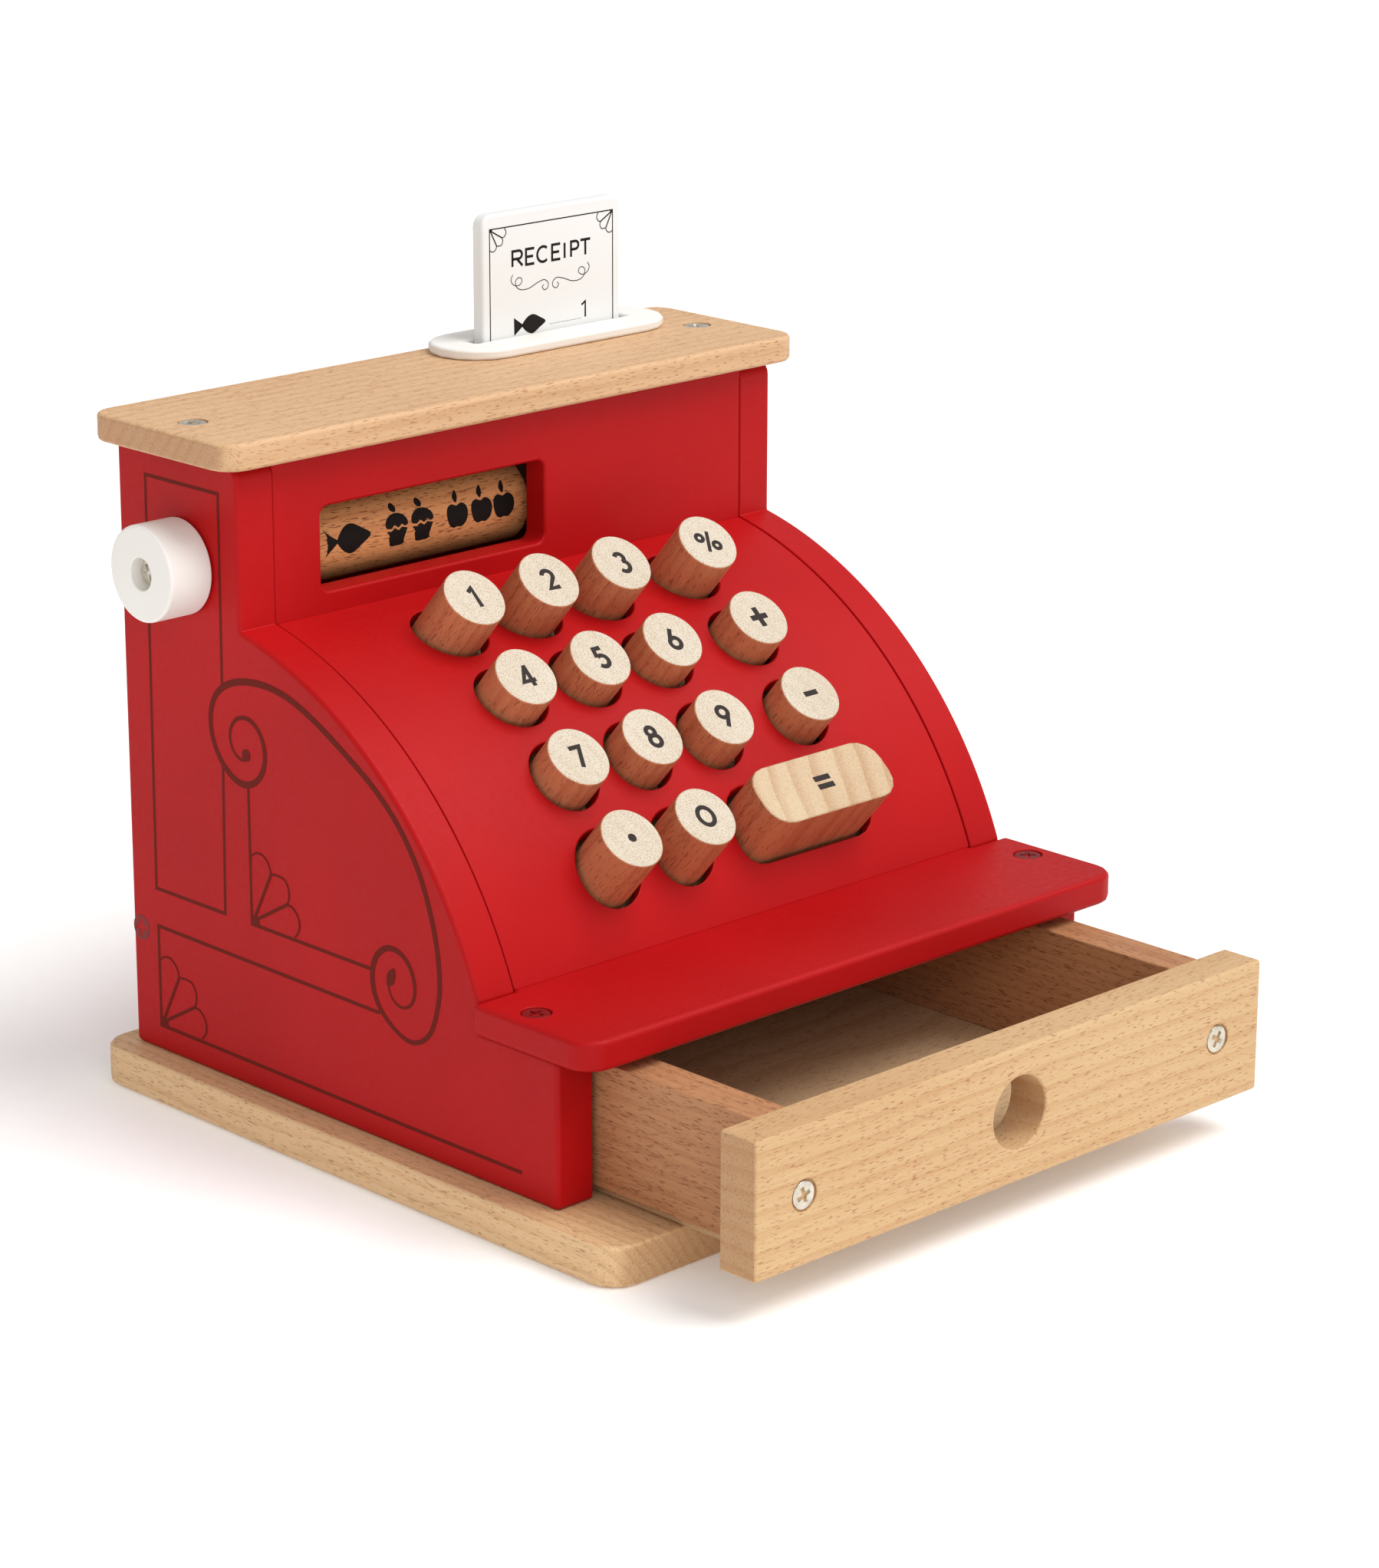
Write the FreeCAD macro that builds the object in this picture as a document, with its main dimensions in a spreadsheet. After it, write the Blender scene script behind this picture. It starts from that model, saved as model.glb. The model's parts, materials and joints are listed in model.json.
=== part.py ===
import FreeCAD, Part
import math
import os
import re

import Sketcher

# Toy cash register. Millimetres, +Z up, -Y towards the player, origin under the base's centre.

DIMENSIONS = {
    # base and casing
    "base_width": 238,
    "base_depth": 234,
    "base_thick": 12.5,
    "base_corner": 10,
    "case_width": 220,
    "case_rear": 108.2,
    "case_top": 204.3,
    "side_thick": 13.5,
    "back_thick": 8,
    "post_front": -85,
    "soft_edge": 1.2,
    # stepped front: shoulder, curved key panel, ledge
    "shoulder_front": 51.4,
    "curve_deep": 82.3,
    "curve_up": 13.8,
    "curve_radius": 144.7,
    "key_panel_thick": 6,
    "ledge_width": 225,
    "ledge_front": -100.3,
    "ledge_tongue": 7,
    "ledge_under": 57.7,
    "ledge_thick": 9.3,
    "ledge_corner": 9,
    # top board, receipt slot and card
    "top_width": 235.6,
    "top_front": 45.7,
    "top_rear": 112.3,
    "top_thick": 8.5,
    "top_corner": 8,
    "plate_length": 90.6,
    "plate_width": 31,
    "plate_thick": 3.4,
    "plate_flat": 0.5,
    "plate_soft": 0.8,
    "slot_across": 54.2,
    "slot_deep": 96.7,
    "slot_length": 66,
    "slot_width": 6.2,
    "card_width": 59.5,
    "card_thick": 5,
    "card_under": 166,
    "card_height": 90,
    "card_corner": 4,
    "card_soft": 0.8,
    "stop_length": 72,
    "stop_depth": 9,
    "stop_thick": 8,
    # window and picture drum
    "window_panel_thick": 9,
    "window_panel_under": 147,
    "window_left": -78.5,
    "window_right": 11.2,
    "window_under": 161.3,
    "window_top": 187.4,
    "window_corner": 3,
    "drum_deep": 77.7,
    "drum_up": 170.5,
    "drum_radius": 13.5,
    "drum_left": -84,
    "drum_right": 16.2,
    "axle_radius": 4,
    "axle_fit": 0.06,
    "axle_seat": 8,
    "knob_radius": 14.7,
    "knob_thick": 15.4,
    "knob_gap": 0.4,
    "knob_socket": 5,
    "axle_end_gap": 0.5,
    "knob_recess_radius": 4.9,
    "knob_recess_depth": 4,
    "knob_round": 0.8,
    # keys, all square to one tilted deck
    "key_tilt": 41.2,
    "deck_lift": 153.4,
    "key_pitch": 30,
    "first_column": -48,
    "last_column": 49,
    "first_row": 48,
    "key_radius": 10.25,
    "key_length": 38.9,
    "key_hole_radius": 11.8,
    "key_chamfer": 0.6,
    "bar_across": 32,
    "bar_length": 54,
    "bar_corner": 8,
    "flange_rim": 2.75,
    "flange_thick": 2.5,
    "flange_gap": 0.05,
    "bar_hole_corner": 8.7,
    "guide_fit": 0.1,
    "guide_thick": 6,
    "guide_low": -57,
    "guide_high": 60,
    "key_travel": 4.5,
    "spring_room": 5.5,
    "spring_board_thick": 4,
    "spring_board_low": -50,
    "spring_board_high": 56,
    "spring_bore_radius": 5,
    "spring_bore_depth": 12,
    "spring_radius": 3.6,
    "spring_wire": 0.8,
    "spring_turns": 5,
    "spring_end_gap": 0.3,
    # drawer, drawn part open
    "drawer_open": 61.5,
    "front_width": 214.2,
    "front_under": 13.2,
    "front_height": 41.3,
    "front_thick": 14,
    "finger_radius": 11,
    "finger_up": 34.3,
    "box_width": 189,
    "box_side": 13,
    "box_length": 181,
    "box_back": 9,
    "box_top": 54.2,
    "box_under": 12.9,
    "box_floor": 3,
    "box_floor_inset": 3,
    "catch_width": 30,
    "catch_deep": 8,
    "catch_height": 9,
    "catch_rear": -52,
    # screws
    "screw_head": 4.2,
    "screw_shank": 1.9,
    "screw_long": 22,
    "screw_sunk": 0.3,
    "screw_seat": 0.15,
    "top_screw_across": 103.8,
    "ledge_screw_deep": -69.5,
    "rear_screw_deep": 103.7,
    "rear_screw_up": 50.7,
    "front_screw_across": 88,
    "base_screw_front": -55,
    "base_screw_rear": 78,
    "screw_rim": 0.6,
    "cross_width": 1.1,
    "cross_depth": 1.5,
}

doc = FreeCAD.newDocument("toy_cash_register")
dims = doc.addObject("Spreadsheet::Sheet", "dims")
for line, (alias, number) in enumerate(DIMENSIONS.items(), start=1):
    dims.set("A%d" % line, alias)
    dims.set("B%d" % line, str(number))
    dims.setAlias("B%d" % line, alias)
doc.recompute()

NEAR = 0.01
ACROSS, DEEP, UP = (FreeCAD.Vector(1, 0, 0), FreeCAD.Vector(0, 1, 0), FreeCAD.Vector(0, 0, 1))
LEVEL = FreeCAD.Rotation()
FACING_PLAYER = FreeCAD.Rotation(ACROSS, 90)
FACING_RIGHT = FreeCAD.Rotation(DEEP, 90)
FACING_LEFT = FreeCAD.Rotation(DEEP, -90)
FACING_DOWN = FreeCAD.Rotation(ACROSS, 180)
parts = []


# ---- expressions ---------------------------------------------------------------------------

def amount(expression):
    """Number that an expression of the sheet's aliases gives now."""
    return float(dims.evalExpression(str(expression)))


def linked(expression):
    """The same expression, as another object refers to it."""
    return re.sub(r"[a-z_]+", lambda word: "dims." + word[0] if word[0] in DIMENSIONS else word[0],
                  str(expression))


def bind(thing, name, expression):
    thing.setExpression(name, linked(expression))


def place(thing, across, deep, up, rotation=LEVEL):
    """Bind a sub-part's Placement to the sheet."""
    thing.Placement = FreeCAD.Placement(FreeCAD.Vector(), rotation)
    for axis, expression in (("x", across), ("y", deep), ("z", up)):
        bind(thing, "Placement.Base." + axis, expression)


def deck_point(slope, lift):
    """Deep and up of a point of the key deck: slope runs up it, lift is square to it."""
    deep = "curve_deep + cos(key_tilt) * (%s) - sin(key_tilt) * (%s)" % (slope, lift)
    up = "curve_up + sin(key_tilt) * (%s) + cos(key_tilt) * (%s)" % (slope, lift)
    return deep, up


def place_on_deck(thing, across, slope, lift):
    deep, up = deck_point(slope, lift)
    place(thing, across, deep, up, FreeCAD.Rotation(ACROSS, amount("key_tilt")))
    bind(thing, "Placement.Rotation.Angle", "key_tilt")


# ---- sketches and features -----------------------------------------------------------------

def new_body(label):
    body = doc.addObject("PartDesign::Body", label)
    body.Label = label
    parts.append(body)
    return body


def new_sketch(body, name, role="XY_Plane", lift=None):
    sketch = body.newObject("Sketcher::SketchObject", body.Label + "_" + name)
    plane = [feature for feature in body.Origin.OriginFeatures if feature.Role == role][0]
    sketch.AttachmentSupport = [(plane, "")]
    sketch.MapMode = "FlatFace"
    if lift is not None:
        bind(sketch, "AttachmentOffset.Base.z", lift)
    return sketch


def fix_point(sketch, geometry, end, across, up):
    """Hold one end of a sketch line or a circle's centre at a place bound to the sheet."""
    for kind, expression in (("DistanceX", across), ("DistanceY", up)):
        index = sketch.addConstraint(
            Sketcher.Constraint(kind, -1, 1, geometry, end, amount(expression)))
        name = "place_%d" % index
        sketch.renameConstraint(index, name)
        bind(sketch, "Constraints." + name, expression)


def fix_radius(sketch, geometry, radius):
    index = sketch.addConstraint(Sketcher.Constraint("Radius", geometry, amount(radius)))
    name = "radius_%d" % index
    sketch.renameConstraint(index, name)
    bind(sketch, "Constraints." + name, radius)


def arc_centre(start, end, radius):
    """Centre on the left of the way from start to end."""
    chord = end - start
    reach = max(radius ** 2 - (chord.Length / 2) ** 2, 0) ** 0.5
    return start + chord * 0.5 + FreeCAD.Vector(-chord.y, chord.x, 0).normalize() * reach


def draw_outline(sketch, points, arcs=None):
    """Closed outline whose corners are bound to the sheet, drawn anticlockwise.

    arcs gives the radius of each edge that is round, by the number of its first corner.
    A radius starting with a minus sign is a hollow edge.
    """
    arcs = arcs or {}
    corners = [FreeCAD.Vector(amount(across), amount(up), 0) for across, up in points]
    ends = []
    for number, (start, end) in enumerate(zip(corners, corners[1:] + corners[:1])):
        radius = str(arcs.get(number, ""))
        if not radius:
            index = sketch.addGeometry(Part.LineSegment(start, end), False)
            ends.append((index, 1, 2))
            continue
        hollow = radius.startswith("-")
        radius = radius.lstrip("-")
        first, last = (end, start) if hollow else (start, end)
        centre = arc_centre(first, last, amount(radius))
        angles = [math.atan2(corner.y - centre.y, corner.x - centre.x) for corner in (first, last)]
        circle = Part.Circle(centre, UP, amount(radius))
        index = sketch.addGeometry(Part.ArcOfCircle(circle, angles[0], angles[1]), False)
        ends.append((index, 2, 1) if hollow else (index, 1, 2))
    for number, (index, start, end) in enumerate(ends):
        following = ends[(number + 1) % len(ends)]
        sketch.addConstraint(Sketcher.Constraint("Coincident", index, end, *following[:2]))
    for (index, start, end), (across, up) in zip(ends, points):
        fix_point(sketch, index, start, across, up)
    for number, radius in arcs.items():
        fix_radius(sketch, ends[number][0], str(radius).lstrip("-"))


def draw_box(sketch, wide, deep, across=0, up=0, corner=None):
    """Rectangle about a centre, with round corners where a radius is given."""
    left, right = "(%s) - (%s)/2" % (across, wide), "(%s) + (%s)/2" % (across, wide)
    low, high = "(%s) - (%s)/2" % (up, deep), "(%s) + (%s)/2" % (up, deep)
    if corner is None:
        draw_outline(sketch, [(left, low), (right, low), (right, high), (left, high)])
        return
    left_in, right_in = left + " + " + corner, right + " - " + corner
    low_in, high_in = low + " + " + corner, high + " - " + corner
    points = [(left_in, low), (right_in, low), (right, low_in), (right, high_in),
              (right_in, high), (left_in, high), (left, high_in), (left, low_in)]
    draw_outline(sketch, points, {number: corner for number in (1, 3, 5, 7)})


def draw_circle(sketch, across, up, radius):
    centre = FreeCAD.Vector(amount(across), amount(up), 0)
    index = sketch.addGeometry(Part.Circle(centre, UP, amount(radius)), False)
    fix_point(sketch, index, 3, across, up)
    fix_radius(sketch, index, radius)


def add_pad(body, sketch, length, middle=False):
    pad = body.newObject("PartDesign::Pad", sketch.Name + "_pad")
    pad.Profile = sketch
    pad.Midplane = middle
    bind(pad, "Length", length)
    sketch.Visibility = False
    doc.recompute()
    return pad


def add_pocket(body, sketch, depth, upwards=False, middle=False):
    """Cut a sketch into the body, and stop if nothing was cut."""
    before = body.Shape.Volume
    pocket = body.newObject("PartDesign::Pocket", sketch.Name + "_pocket")
    pocket.Profile = sketch
    pocket.Reversed = upwards
    pocket.Midplane = middle
    bind(pocket, "Length", depth)
    sketch.Visibility = False
    doc.recompute()
    if body.Shape.Volume > before - NEAR:
        raise RuntimeError(sketch.Name + " cuts nothing")
    return pocket


def add_dressing(body, kind, size, wanted):
    """Round or chamfer the edges of the body's tip that the wanted test picks."""
    tip = body.Tip
    names = ["Edge%d" % number for number, edge in enumerate(tip.Shape.Edges, start=1)
             if wanted(edge.BoundBox)]
    if not names:
        raise RuntimeError(body.Label + " has no such edge")
    dressing = body.newObject("PartDesign::" + kind, body.Label + "_" + kind.lower())
    dressing.Base = (tip, names)
    bind(dressing, "Radius" if kind == "Fillet" else "Size", size)
    doc.recompute()
    return dressing


def at_height(height):
    """Edges that lie flat at a height of the body."""
    return lambda box: abs(box.ZMin - height) < NEAR and abs(box.ZMax - height) < NEAR


def new_board(label, wide, deep, thick, corner=None, soft=None):
    """Flat board, centred on its origin, with its underside there; it grows along its Z."""
    body = new_body(label)
    sketch = new_sketch(body, "outline")
    draw_box(sketch, wide, deep, corner=corner)
    add_pad(body, sketch, thick)
    if soft:
        add_dressing(body, "Fillet", soft, at_height(amount(thick)))
    return body


def sink_screws(body, spots, lift, upwards=False, role="XY_Plane"):
    """Round seats for screw heads, cut in from the face at the given height."""
    sketch = new_sketch(body, "screw_seats", role, lift)
    for across, up in spots:
        draw_circle(sketch, across, up, "screw_head + screw_seat")
    add_pocket(body, sketch, "screw_sunk + screw_rim", upwards)


def new_feature(label, shape, placement):
    """Sub-part whose shape comes from Part's own functions; it is placed after it is shaped."""
    feature = doc.addObject("Part::Feature", label)
    feature.Label = label
    feature.Shape = shape
    feature.Placement = placement
    parts.append(feature)
    return feature


# ---- lines that several sub-parts share ----------------------------------------------------

def curve_up_at(radius, deep):
    return "curve_up + sqrt((%s)^2 - ((%s) - curve_deep)^2)" % (radius, deep)


def curve_deep_at(radius, up):
    return "curve_deep - sqrt((%s)^2 - ((%s) - curve_up)^2)" % (radius, up)


INNER_WIDTH = "(case_width - 2 * side_thick)"
LEDGE_TOP = "(ledge_under + ledge_thick)"
SHOULDER_TOP = curve_up_at("curve_radius", "shoulder_front")
LEDGE_REAR = curve_deep_at("curve_radius", LEDGE_TOP)
TOP_MIDDLE = "((top_front + top_rear) / 2)"
DRAWER_REAR_FACE = "(post_front - drawer_open)"
KEY_SEAT = "(deck_lift - key_length)"
SPRING_FOOT = KEY_SEAT + " - spring_room + spring_end_gap + spring_wire / 2"

rows = [("1", "2", "3", "percent"), ("4", "5", "6", "plus"), ("7", "8", "9", "minus"), ("point", "0")]
key_spots = {}
for row_number, row in enumerate(rows):
    for column_number, name in enumerate(row):
        key_across = "last_column" if column_number == 3 else "first_column + %d * key_pitch" % column_number
        key_spots["key_" + name] = (key_across, "first_row - %d * key_pitch" % row_number)
bar_spot = ("bar_across", "first_row - 3 * key_pitch")


# ---- casing --------------------------------------------------------------------------------

base = new_board("base_board", "base_width", "base_depth", "base_thick", "base_corner", "soft_edge")
sink_screws(base, [(side + "(case_width - side_thick) / 2", deep)
                   for side in ("-", "") for deep in ("base_screw_front", "base_screw_rear")],
            "0", upwards=True)
place(base, 0, 0, 0)

side_outline = [("post_front", "base_thick"), ("case_rear", "base_thick"), ("case_rear", "case_top"),
                ("shoulder_front", "case_top"), ("shoulder_front", SHOULDER_TOP),
                (LEDGE_REAR, LEDGE_TOP), (LEDGE_REAR, "ledge_under"), ("post_front", "ledge_under")]
for side, left_face in (("left", "-case_width / 2"), ("right", "case_width / 2 - side_thick")):
    panel = new_body(side + "_side_panel")
    profile = new_sketch(panel, "outline", "YZ_Plane")
    draw_outline(profile, side_outline, {4: "curve_radius"})
    add_pad(panel, profile, "side_thick")
    bore = new_sketch(panel, "axle_bore", "YZ_Plane")
    draw_circle(bore, "drum_deep", "drum_up", "axle_radius + axle_fit")
    add_pocket(panel, bore, "side_thick" if side == "left" else "axle_seat", upwards=True)
    outer_face = "0" if side == "left" else "side_thick"
    sink_screws(panel, [("rear_screw_deep", "rear_screw_up")], outer_face,
                side == "left", "YZ_Plane")
    place(panel, left_face, 0, 0)

back = new_board("back_panel", INNER_WIDTH, "case_top - base_thick", "back_thick")
place(back, 0, "case_rear", "(case_top + base_thick) / 2", FACING_PLAYER)

window_panel = new_board("window_panel", INNER_WIDTH, "case_top - window_panel_under",
                         "window_panel_thick")
window = new_sketch(window_panel, "window", lift="window_panel_thick")
panel_middle = "(case_top + window_panel_under) / 2"
draw_box(window, "window_right - window_left", "window_top - window_under",
         "(window_right + window_left) / 2", "(window_top + window_under) / 2 - " + panel_middle,
         "window_corner")
add_pocket(window_panel, window, "window_panel_thick")
place(window_panel, 0, "shoulder_front + window_panel_thick", panel_middle, FACING_PLAYER)

key_panel = new_body("key_panel")
shell = new_sketch(key_panel, "profile", "YZ_Plane")
inner_radius = "(curve_radius - key_panel_thick)"
draw_outline(shell, [("shoulder_front", SHOULDER_TOP), (LEDGE_REAR, LEDGE_TOP),
                     (curve_deep_at(inner_radius, LEDGE_TOP), LEDGE_TOP),
                     ("shoulder_front", curve_up_at(inner_radius, "shoulder_front"))],
             {0: "curve_radius", 2: "-" + inner_radius})
add_pad(key_panel, shell, INNER_WIDTH, middle=True)
holes = new_sketch(key_panel, "key_holes")
deck_deep, deck_up = deck_point(0, "deck_lift")
holes.AttachmentOffset = FreeCAD.Placement(
    FreeCAD.Vector(), FreeCAD.Rotation(ACROSS, amount("key_tilt")))
bind(holes, "AttachmentOffset.Base.y", deck_deep)
bind(holes, "AttachmentOffset.Base.z", deck_up)
bind(holes, "AttachmentOffset.Rotation.Angle", "key_tilt")
for across, slope in key_spots.values():
    draw_circle(holes, across, slope, "key_hole_radius")
hole_room = "2 * (key_hole_radius - key_radius)"
draw_box(holes, "bar_length + " + hole_room, "2 * key_hole_radius", *bar_spot, "bar_hole_corner")
add_pocket(key_panel, holes, "key_length")
place(key_panel, 0, 0, 0)

ledge = new_body("ledge")
ledge_sketch = new_sketch(ledge, "outline")
half_ledge, half_inner = "ledge_width / 2", INNER_WIDTH + " / 2"
tongue_rear = LEDGE_REAR + " + ledge_tongue"
draw_outline(ledge_sketch, [
    ("-%s + ledge_corner" % half_ledge, "ledge_front"), ("%s - ledge_corner" % half_ledge, "ledge_front"),
    (half_ledge, "ledge_front + ledge_corner"), (half_ledge, LEDGE_REAR),
    (half_inner, LEDGE_REAR), (half_inner, tongue_rear),
    ("-" + half_inner, tongue_rear), ("-" + half_inner, LEDGE_REAR),
    ("-" + half_ledge, LEDGE_REAR), ("-" + half_ledge, "ledge_front + ledge_corner")],
    {1: "ledge_corner", 9: "ledge_corner"})
add_pad(ledge, ledge_sketch, "ledge_thick")
rear_of_ledge = amount(LEDGE_REAR)
for height in ("ledge_thick", "0"):
    add_dressing(ledge, "Fillet", "soft_edge", lambda box, level=at_height(amount(height)): (
        level(box) and box.Center.y < rear_of_ledge - NEAR))
sink_screws(ledge, [("-top_screw_across", "ledge_screw_deep"), ("top_screw_across", "ledge_screw_deep")],
            "ledge_thick")
place(ledge, 0, 0, "ledge_under")

catch = new_board("drawer_catch_block", "catch_width", "catch_deep", "catch_height")
place(catch, 0, "catch_rear - catch_deep / 2", "ledge_under - catch_height")

top_board = new_board("top_board", "top_width", "top_rear - top_front", "top_thick", "top_corner",
                      "soft_edge")
top_slot = new_sketch(top_board, "card_slot", lift="top_thick")
draw_box(top_slot, "slot_length", "slot_width", "slot_across", "slot_deep - " + TOP_MIDDLE)
add_pocket(top_board, top_slot, "top_thick")
sink_screws(top_board, [("-top_screw_across", 0), ("top_screw_across", 0)], "top_thick")
place(top_board, 0, TOP_MIDDLE, "case_top")

plate = new_board("receipt_slot_plate", "plate_length", "plate_width", "plate_thick",
                  "(plate_width / 2 - plate_flat)", "plate_soft")
plate_slot = new_sketch(plate, "card_slot", lift="plate_thick")
draw_box(plate_slot, "slot_length", "slot_width")
add_pocket(plate, plate_slot, "plate_thick")
place(plate, "slot_across", "slot_deep", "case_top + top_thick")

stop = new_board("receipt_stop", "stop_length", "stop_depth", "stop_thick")
place(stop, "slot_across", "case_rear - back_thick - stop_depth / 2", "card_under - stop_thick")


# ---- key mechanism -------------------------------------------------------------------------

def new_deck_board(label, low, high, thick, lift):
    """Board across the casing, parallel to the key tops."""
    board = new_board(label, INNER_WIDTH, "%s - %s" % (high, low), thick)
    place_on_deck(board, 0, "(%s + %s) / 2" % (high, low), lift)
    return board


guide = new_deck_board("key_guide_plate", "guide_low", "guide_high", "guide_thick",
                       KEY_SEAT + " + flange_thick + flange_gap")
guide_holes = new_sketch(guide, "key_bores", lift="guide_thick")
guide_middle = "(guide_high + guide_low) / 2"
for across, slope in key_spots.values():
    draw_circle(guide_holes, across, "(%s) - %s" % (slope, guide_middle), "key_radius + guide_fit")
draw_box(guide_holes, "bar_length + 2 * guide_fit", "2 * (key_radius + guide_fit)",
         bar_spot[0], "(%s) - %s" % (bar_spot[1], guide_middle), "(bar_corner + guide_fit)")
add_pocket(guide, guide_holes, "guide_thick")

new_deck_board("key_spring_board", "spring_board_low", "spring_board_high", "spring_board_thick",
               KEY_SEAT + " - spring_room - spring_board_thick")


def finish_key(key, across, slope):
    """Bore for the spring, softened top edge, and the key's place."""
    bore = new_sketch(key, "spring_bore")
    draw_circle(bore, 0, 0, "spring_bore_radius")
    add_pocket(key, bore, "spring_bore_depth", upwards=True)
    add_dressing(key, "Chamfer", "key_chamfer", at_height(amount("key_length")))
    place_on_deck(key, across, slope, KEY_SEAT)


for name, (across, slope) in key_spots.items():
    key = new_body(name)
    for step, radius, length in (("flange", "key_radius + flange_rim", "flange_thick"),
                                 ("dowel", "key_radius", "key_length")):
        disc = new_sketch(key, step)
        draw_circle(disc, 0, 0, radius)
        add_pad(key, disc, length)
    finish_key(key, across, slope)

bar = new_body("key_equals")
for step, rim, length in (("flange", " + flange_rim", "flange_thick"), ("block", "", "key_length")):
    slab = new_sketch(bar, step)
    draw_box(slab, "bar_length + 2 * (0%s)" % rim, "2 * (key_radius%s)" % rim,
             corner="(bar_corner%s)" % rim)
    add_pad(bar, slab, length)
finish_key(bar, *bar_spot)


def coil_spring():
    """Round wire on a helix that rises from its origin."""
    wire = amount("spring_wire")
    rise = amount("spring_room + spring_bore_depth") - wire - 2 * amount("spring_end_gap")
    radius = amount("spring_radius")
    helix = Part.makeHelix(rise / amount("spring_turns"), rise, radius)
    section = Part.Wire(Part.makeCircle(wire / 2, FreeCAD.Vector(radius, 0, 0), DEEP))
    return Part.Wire(helix.Edges).makePipeShell([section], True, True)


spring_shape = coil_spring()
for name, (across, slope) in list(key_spots.items()) + [("key_equals", bar_spot)]:
    foot_deep, foot_up = deck_point(slope, SPRING_FOOT)
    foot = FreeCAD.Vector(amount(across), amount(foot_deep), amount(foot_up))
    new_feature(name + "_spring", spring_shape.copy(),
                FreeCAD.Placement(foot, FreeCAD.Rotation(ACROSS, amount("key_tilt"))))


# ---- picture drum, axle and knob -----------------------------------------------------------

drum = new_body("picture_drum")
ring = new_sketch(drum, "ring")
draw_circle(ring, 0, 0, "drum_radius")
draw_circle(ring, 0, 0, "axle_radius")
add_pad(drum, ring, "drum_right - drum_left")
place(drum, "drum_left", "drum_deep", "drum_up", FACING_RIGHT)

axle = new_body("drum_axle")
rod = new_sketch(axle, "rod")
draw_circle(rod, 0, 0, "axle_radius")
add_pad(axle, rod, "case_width - side_thick + axle_seat - axle_end_gap + knob_gap + knob_socket")
place(axle, "-(case_width / 2 + knob_gap + knob_socket)", "drum_deep", "drum_up", FACING_RIGHT)

knob = new_body("knob")
disc = new_sketch(knob, "disc")
draw_circle(disc, 0, 0, "knob_radius")
add_pad(knob, disc, "knob_thick")
for height in ("knob_thick", "0"):
    add_dressing(knob, "Fillet", "knob_round", at_height(amount(height)))
socket = new_sketch(knob, "socket")
draw_circle(socket, 0, 0, "axle_radius")
add_pocket(knob, socket, "knob_socket", upwards=True)
recess = new_sketch(knob, "recess", lift="knob_thick")
draw_circle(recess, 0, 0, "knob_recess_radius")
add_pocket(knob, recess, "knob_recess_depth")
place(knob, "-(case_width / 2 + knob_gap)", "drum_deep", "drum_up", FACING_LEFT)


# ---- receipt card --------------------------------------------------------------------------

card = new_board("receipt_card", "card_width", "card_height", "card_thick", "card_corner", "card_soft")
place(card, "slot_across", "slot_deep + card_thick / 2", "card_under + card_height / 2", FACING_PLAYER)


# ---- drawer, standing part open ------------------------------------------------------------

front_middle = "(front_under + front_height / 2)"
drawer_front = new_board("drawer_front", "front_width", "front_height", "front_thick", soft="soft_edge")
finger = new_sketch(drawer_front, "finger_hole", lift="front_thick")
draw_circle(finger, 0, "finger_up - " + front_middle, "finger_radius")
add_pocket(drawer_front, finger, "front_thick")
sink_screws(drawer_front, [("-front_screw_across", 0), ("front_screw_across", 0)], "front_thick")
place(drawer_front, 0, DRAWER_REAR_FACE, front_middle, FACING_PLAYER)

box_middle = DRAWER_REAR_FACE + " + box_length / 2"
wall_foot = "(box_under + box_floor)"
wall_height = "box_top - " + wall_foot
for side, sign in (("left", "-"), ("right", "")):
    wall = new_board("drawer_%s_side" % side, "box_side", "box_length", wall_height)
    place(wall, sign + "(box_width - box_side) / 2", box_middle, wall_foot)
drawer_back = new_board("drawer_back", "box_width - 2 * box_side", "box_back", wall_height)
place(drawer_back, 0, DRAWER_REAR_FACE + " + box_length - box_back / 2", wall_foot)
drawer_bottom = new_board("drawer_bottom", "box_width - 2 * box_floor_inset", "box_length", "box_floor")
place(drawer_bottom, 0, box_middle, "box_under")


# ---- screws --------------------------------------------------------------------------------

def wood_screw():
    """Flat-headed cross-recess screw, its head's face at the origin and its point down."""
    head, shank, rim = amount("screw_head"), amount("screw_shank"), amount("screw_rim")
    neck, point = -rim - (head - shank), -amount("screw_long")
    outline = [(0, 0), (head, 0), (head, -rim), (shank, neck), (shank, point + 2 * shank), (0, point), (0, 0)]
    face = Part.Face(Part.makePolygon([FreeCAD.Vector(across, 0, up) for across, up in outline]))
    screw = face.revolve(FreeCAD.Vector(), UP, 360)
    wide, depth, reach = amount("cross_width"), amount("cross_depth"), 1.3 * head
    for across, deep in ((reach, wide), (wide, reach)):
        slot = Part.makeBox(across, deep, depth, FreeCAD.Vector(-across / 2, -deep / 2, -depth))
        screw = screw.cut(slot)
    return screw


def new_screws(label, spots, rotation=LEVEL, mirrored=None):
    """Group of equal screws as one sub-part; the spots are the middles of their heads' faces."""
    solids = []
    for number, spot in enumerate(spots):
        turn = mirrored if mirrored and number % 2 else rotation
        screw = screw_shape.copy()
        screw.Placement = FreeCAD.Placement(FreeCAD.Vector(*[amount(part) for part in spot]), turn)
        solids.append(screw)
    new_feature(label, Part.makeCompound(solids), FreeCAD.Placement())


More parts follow.
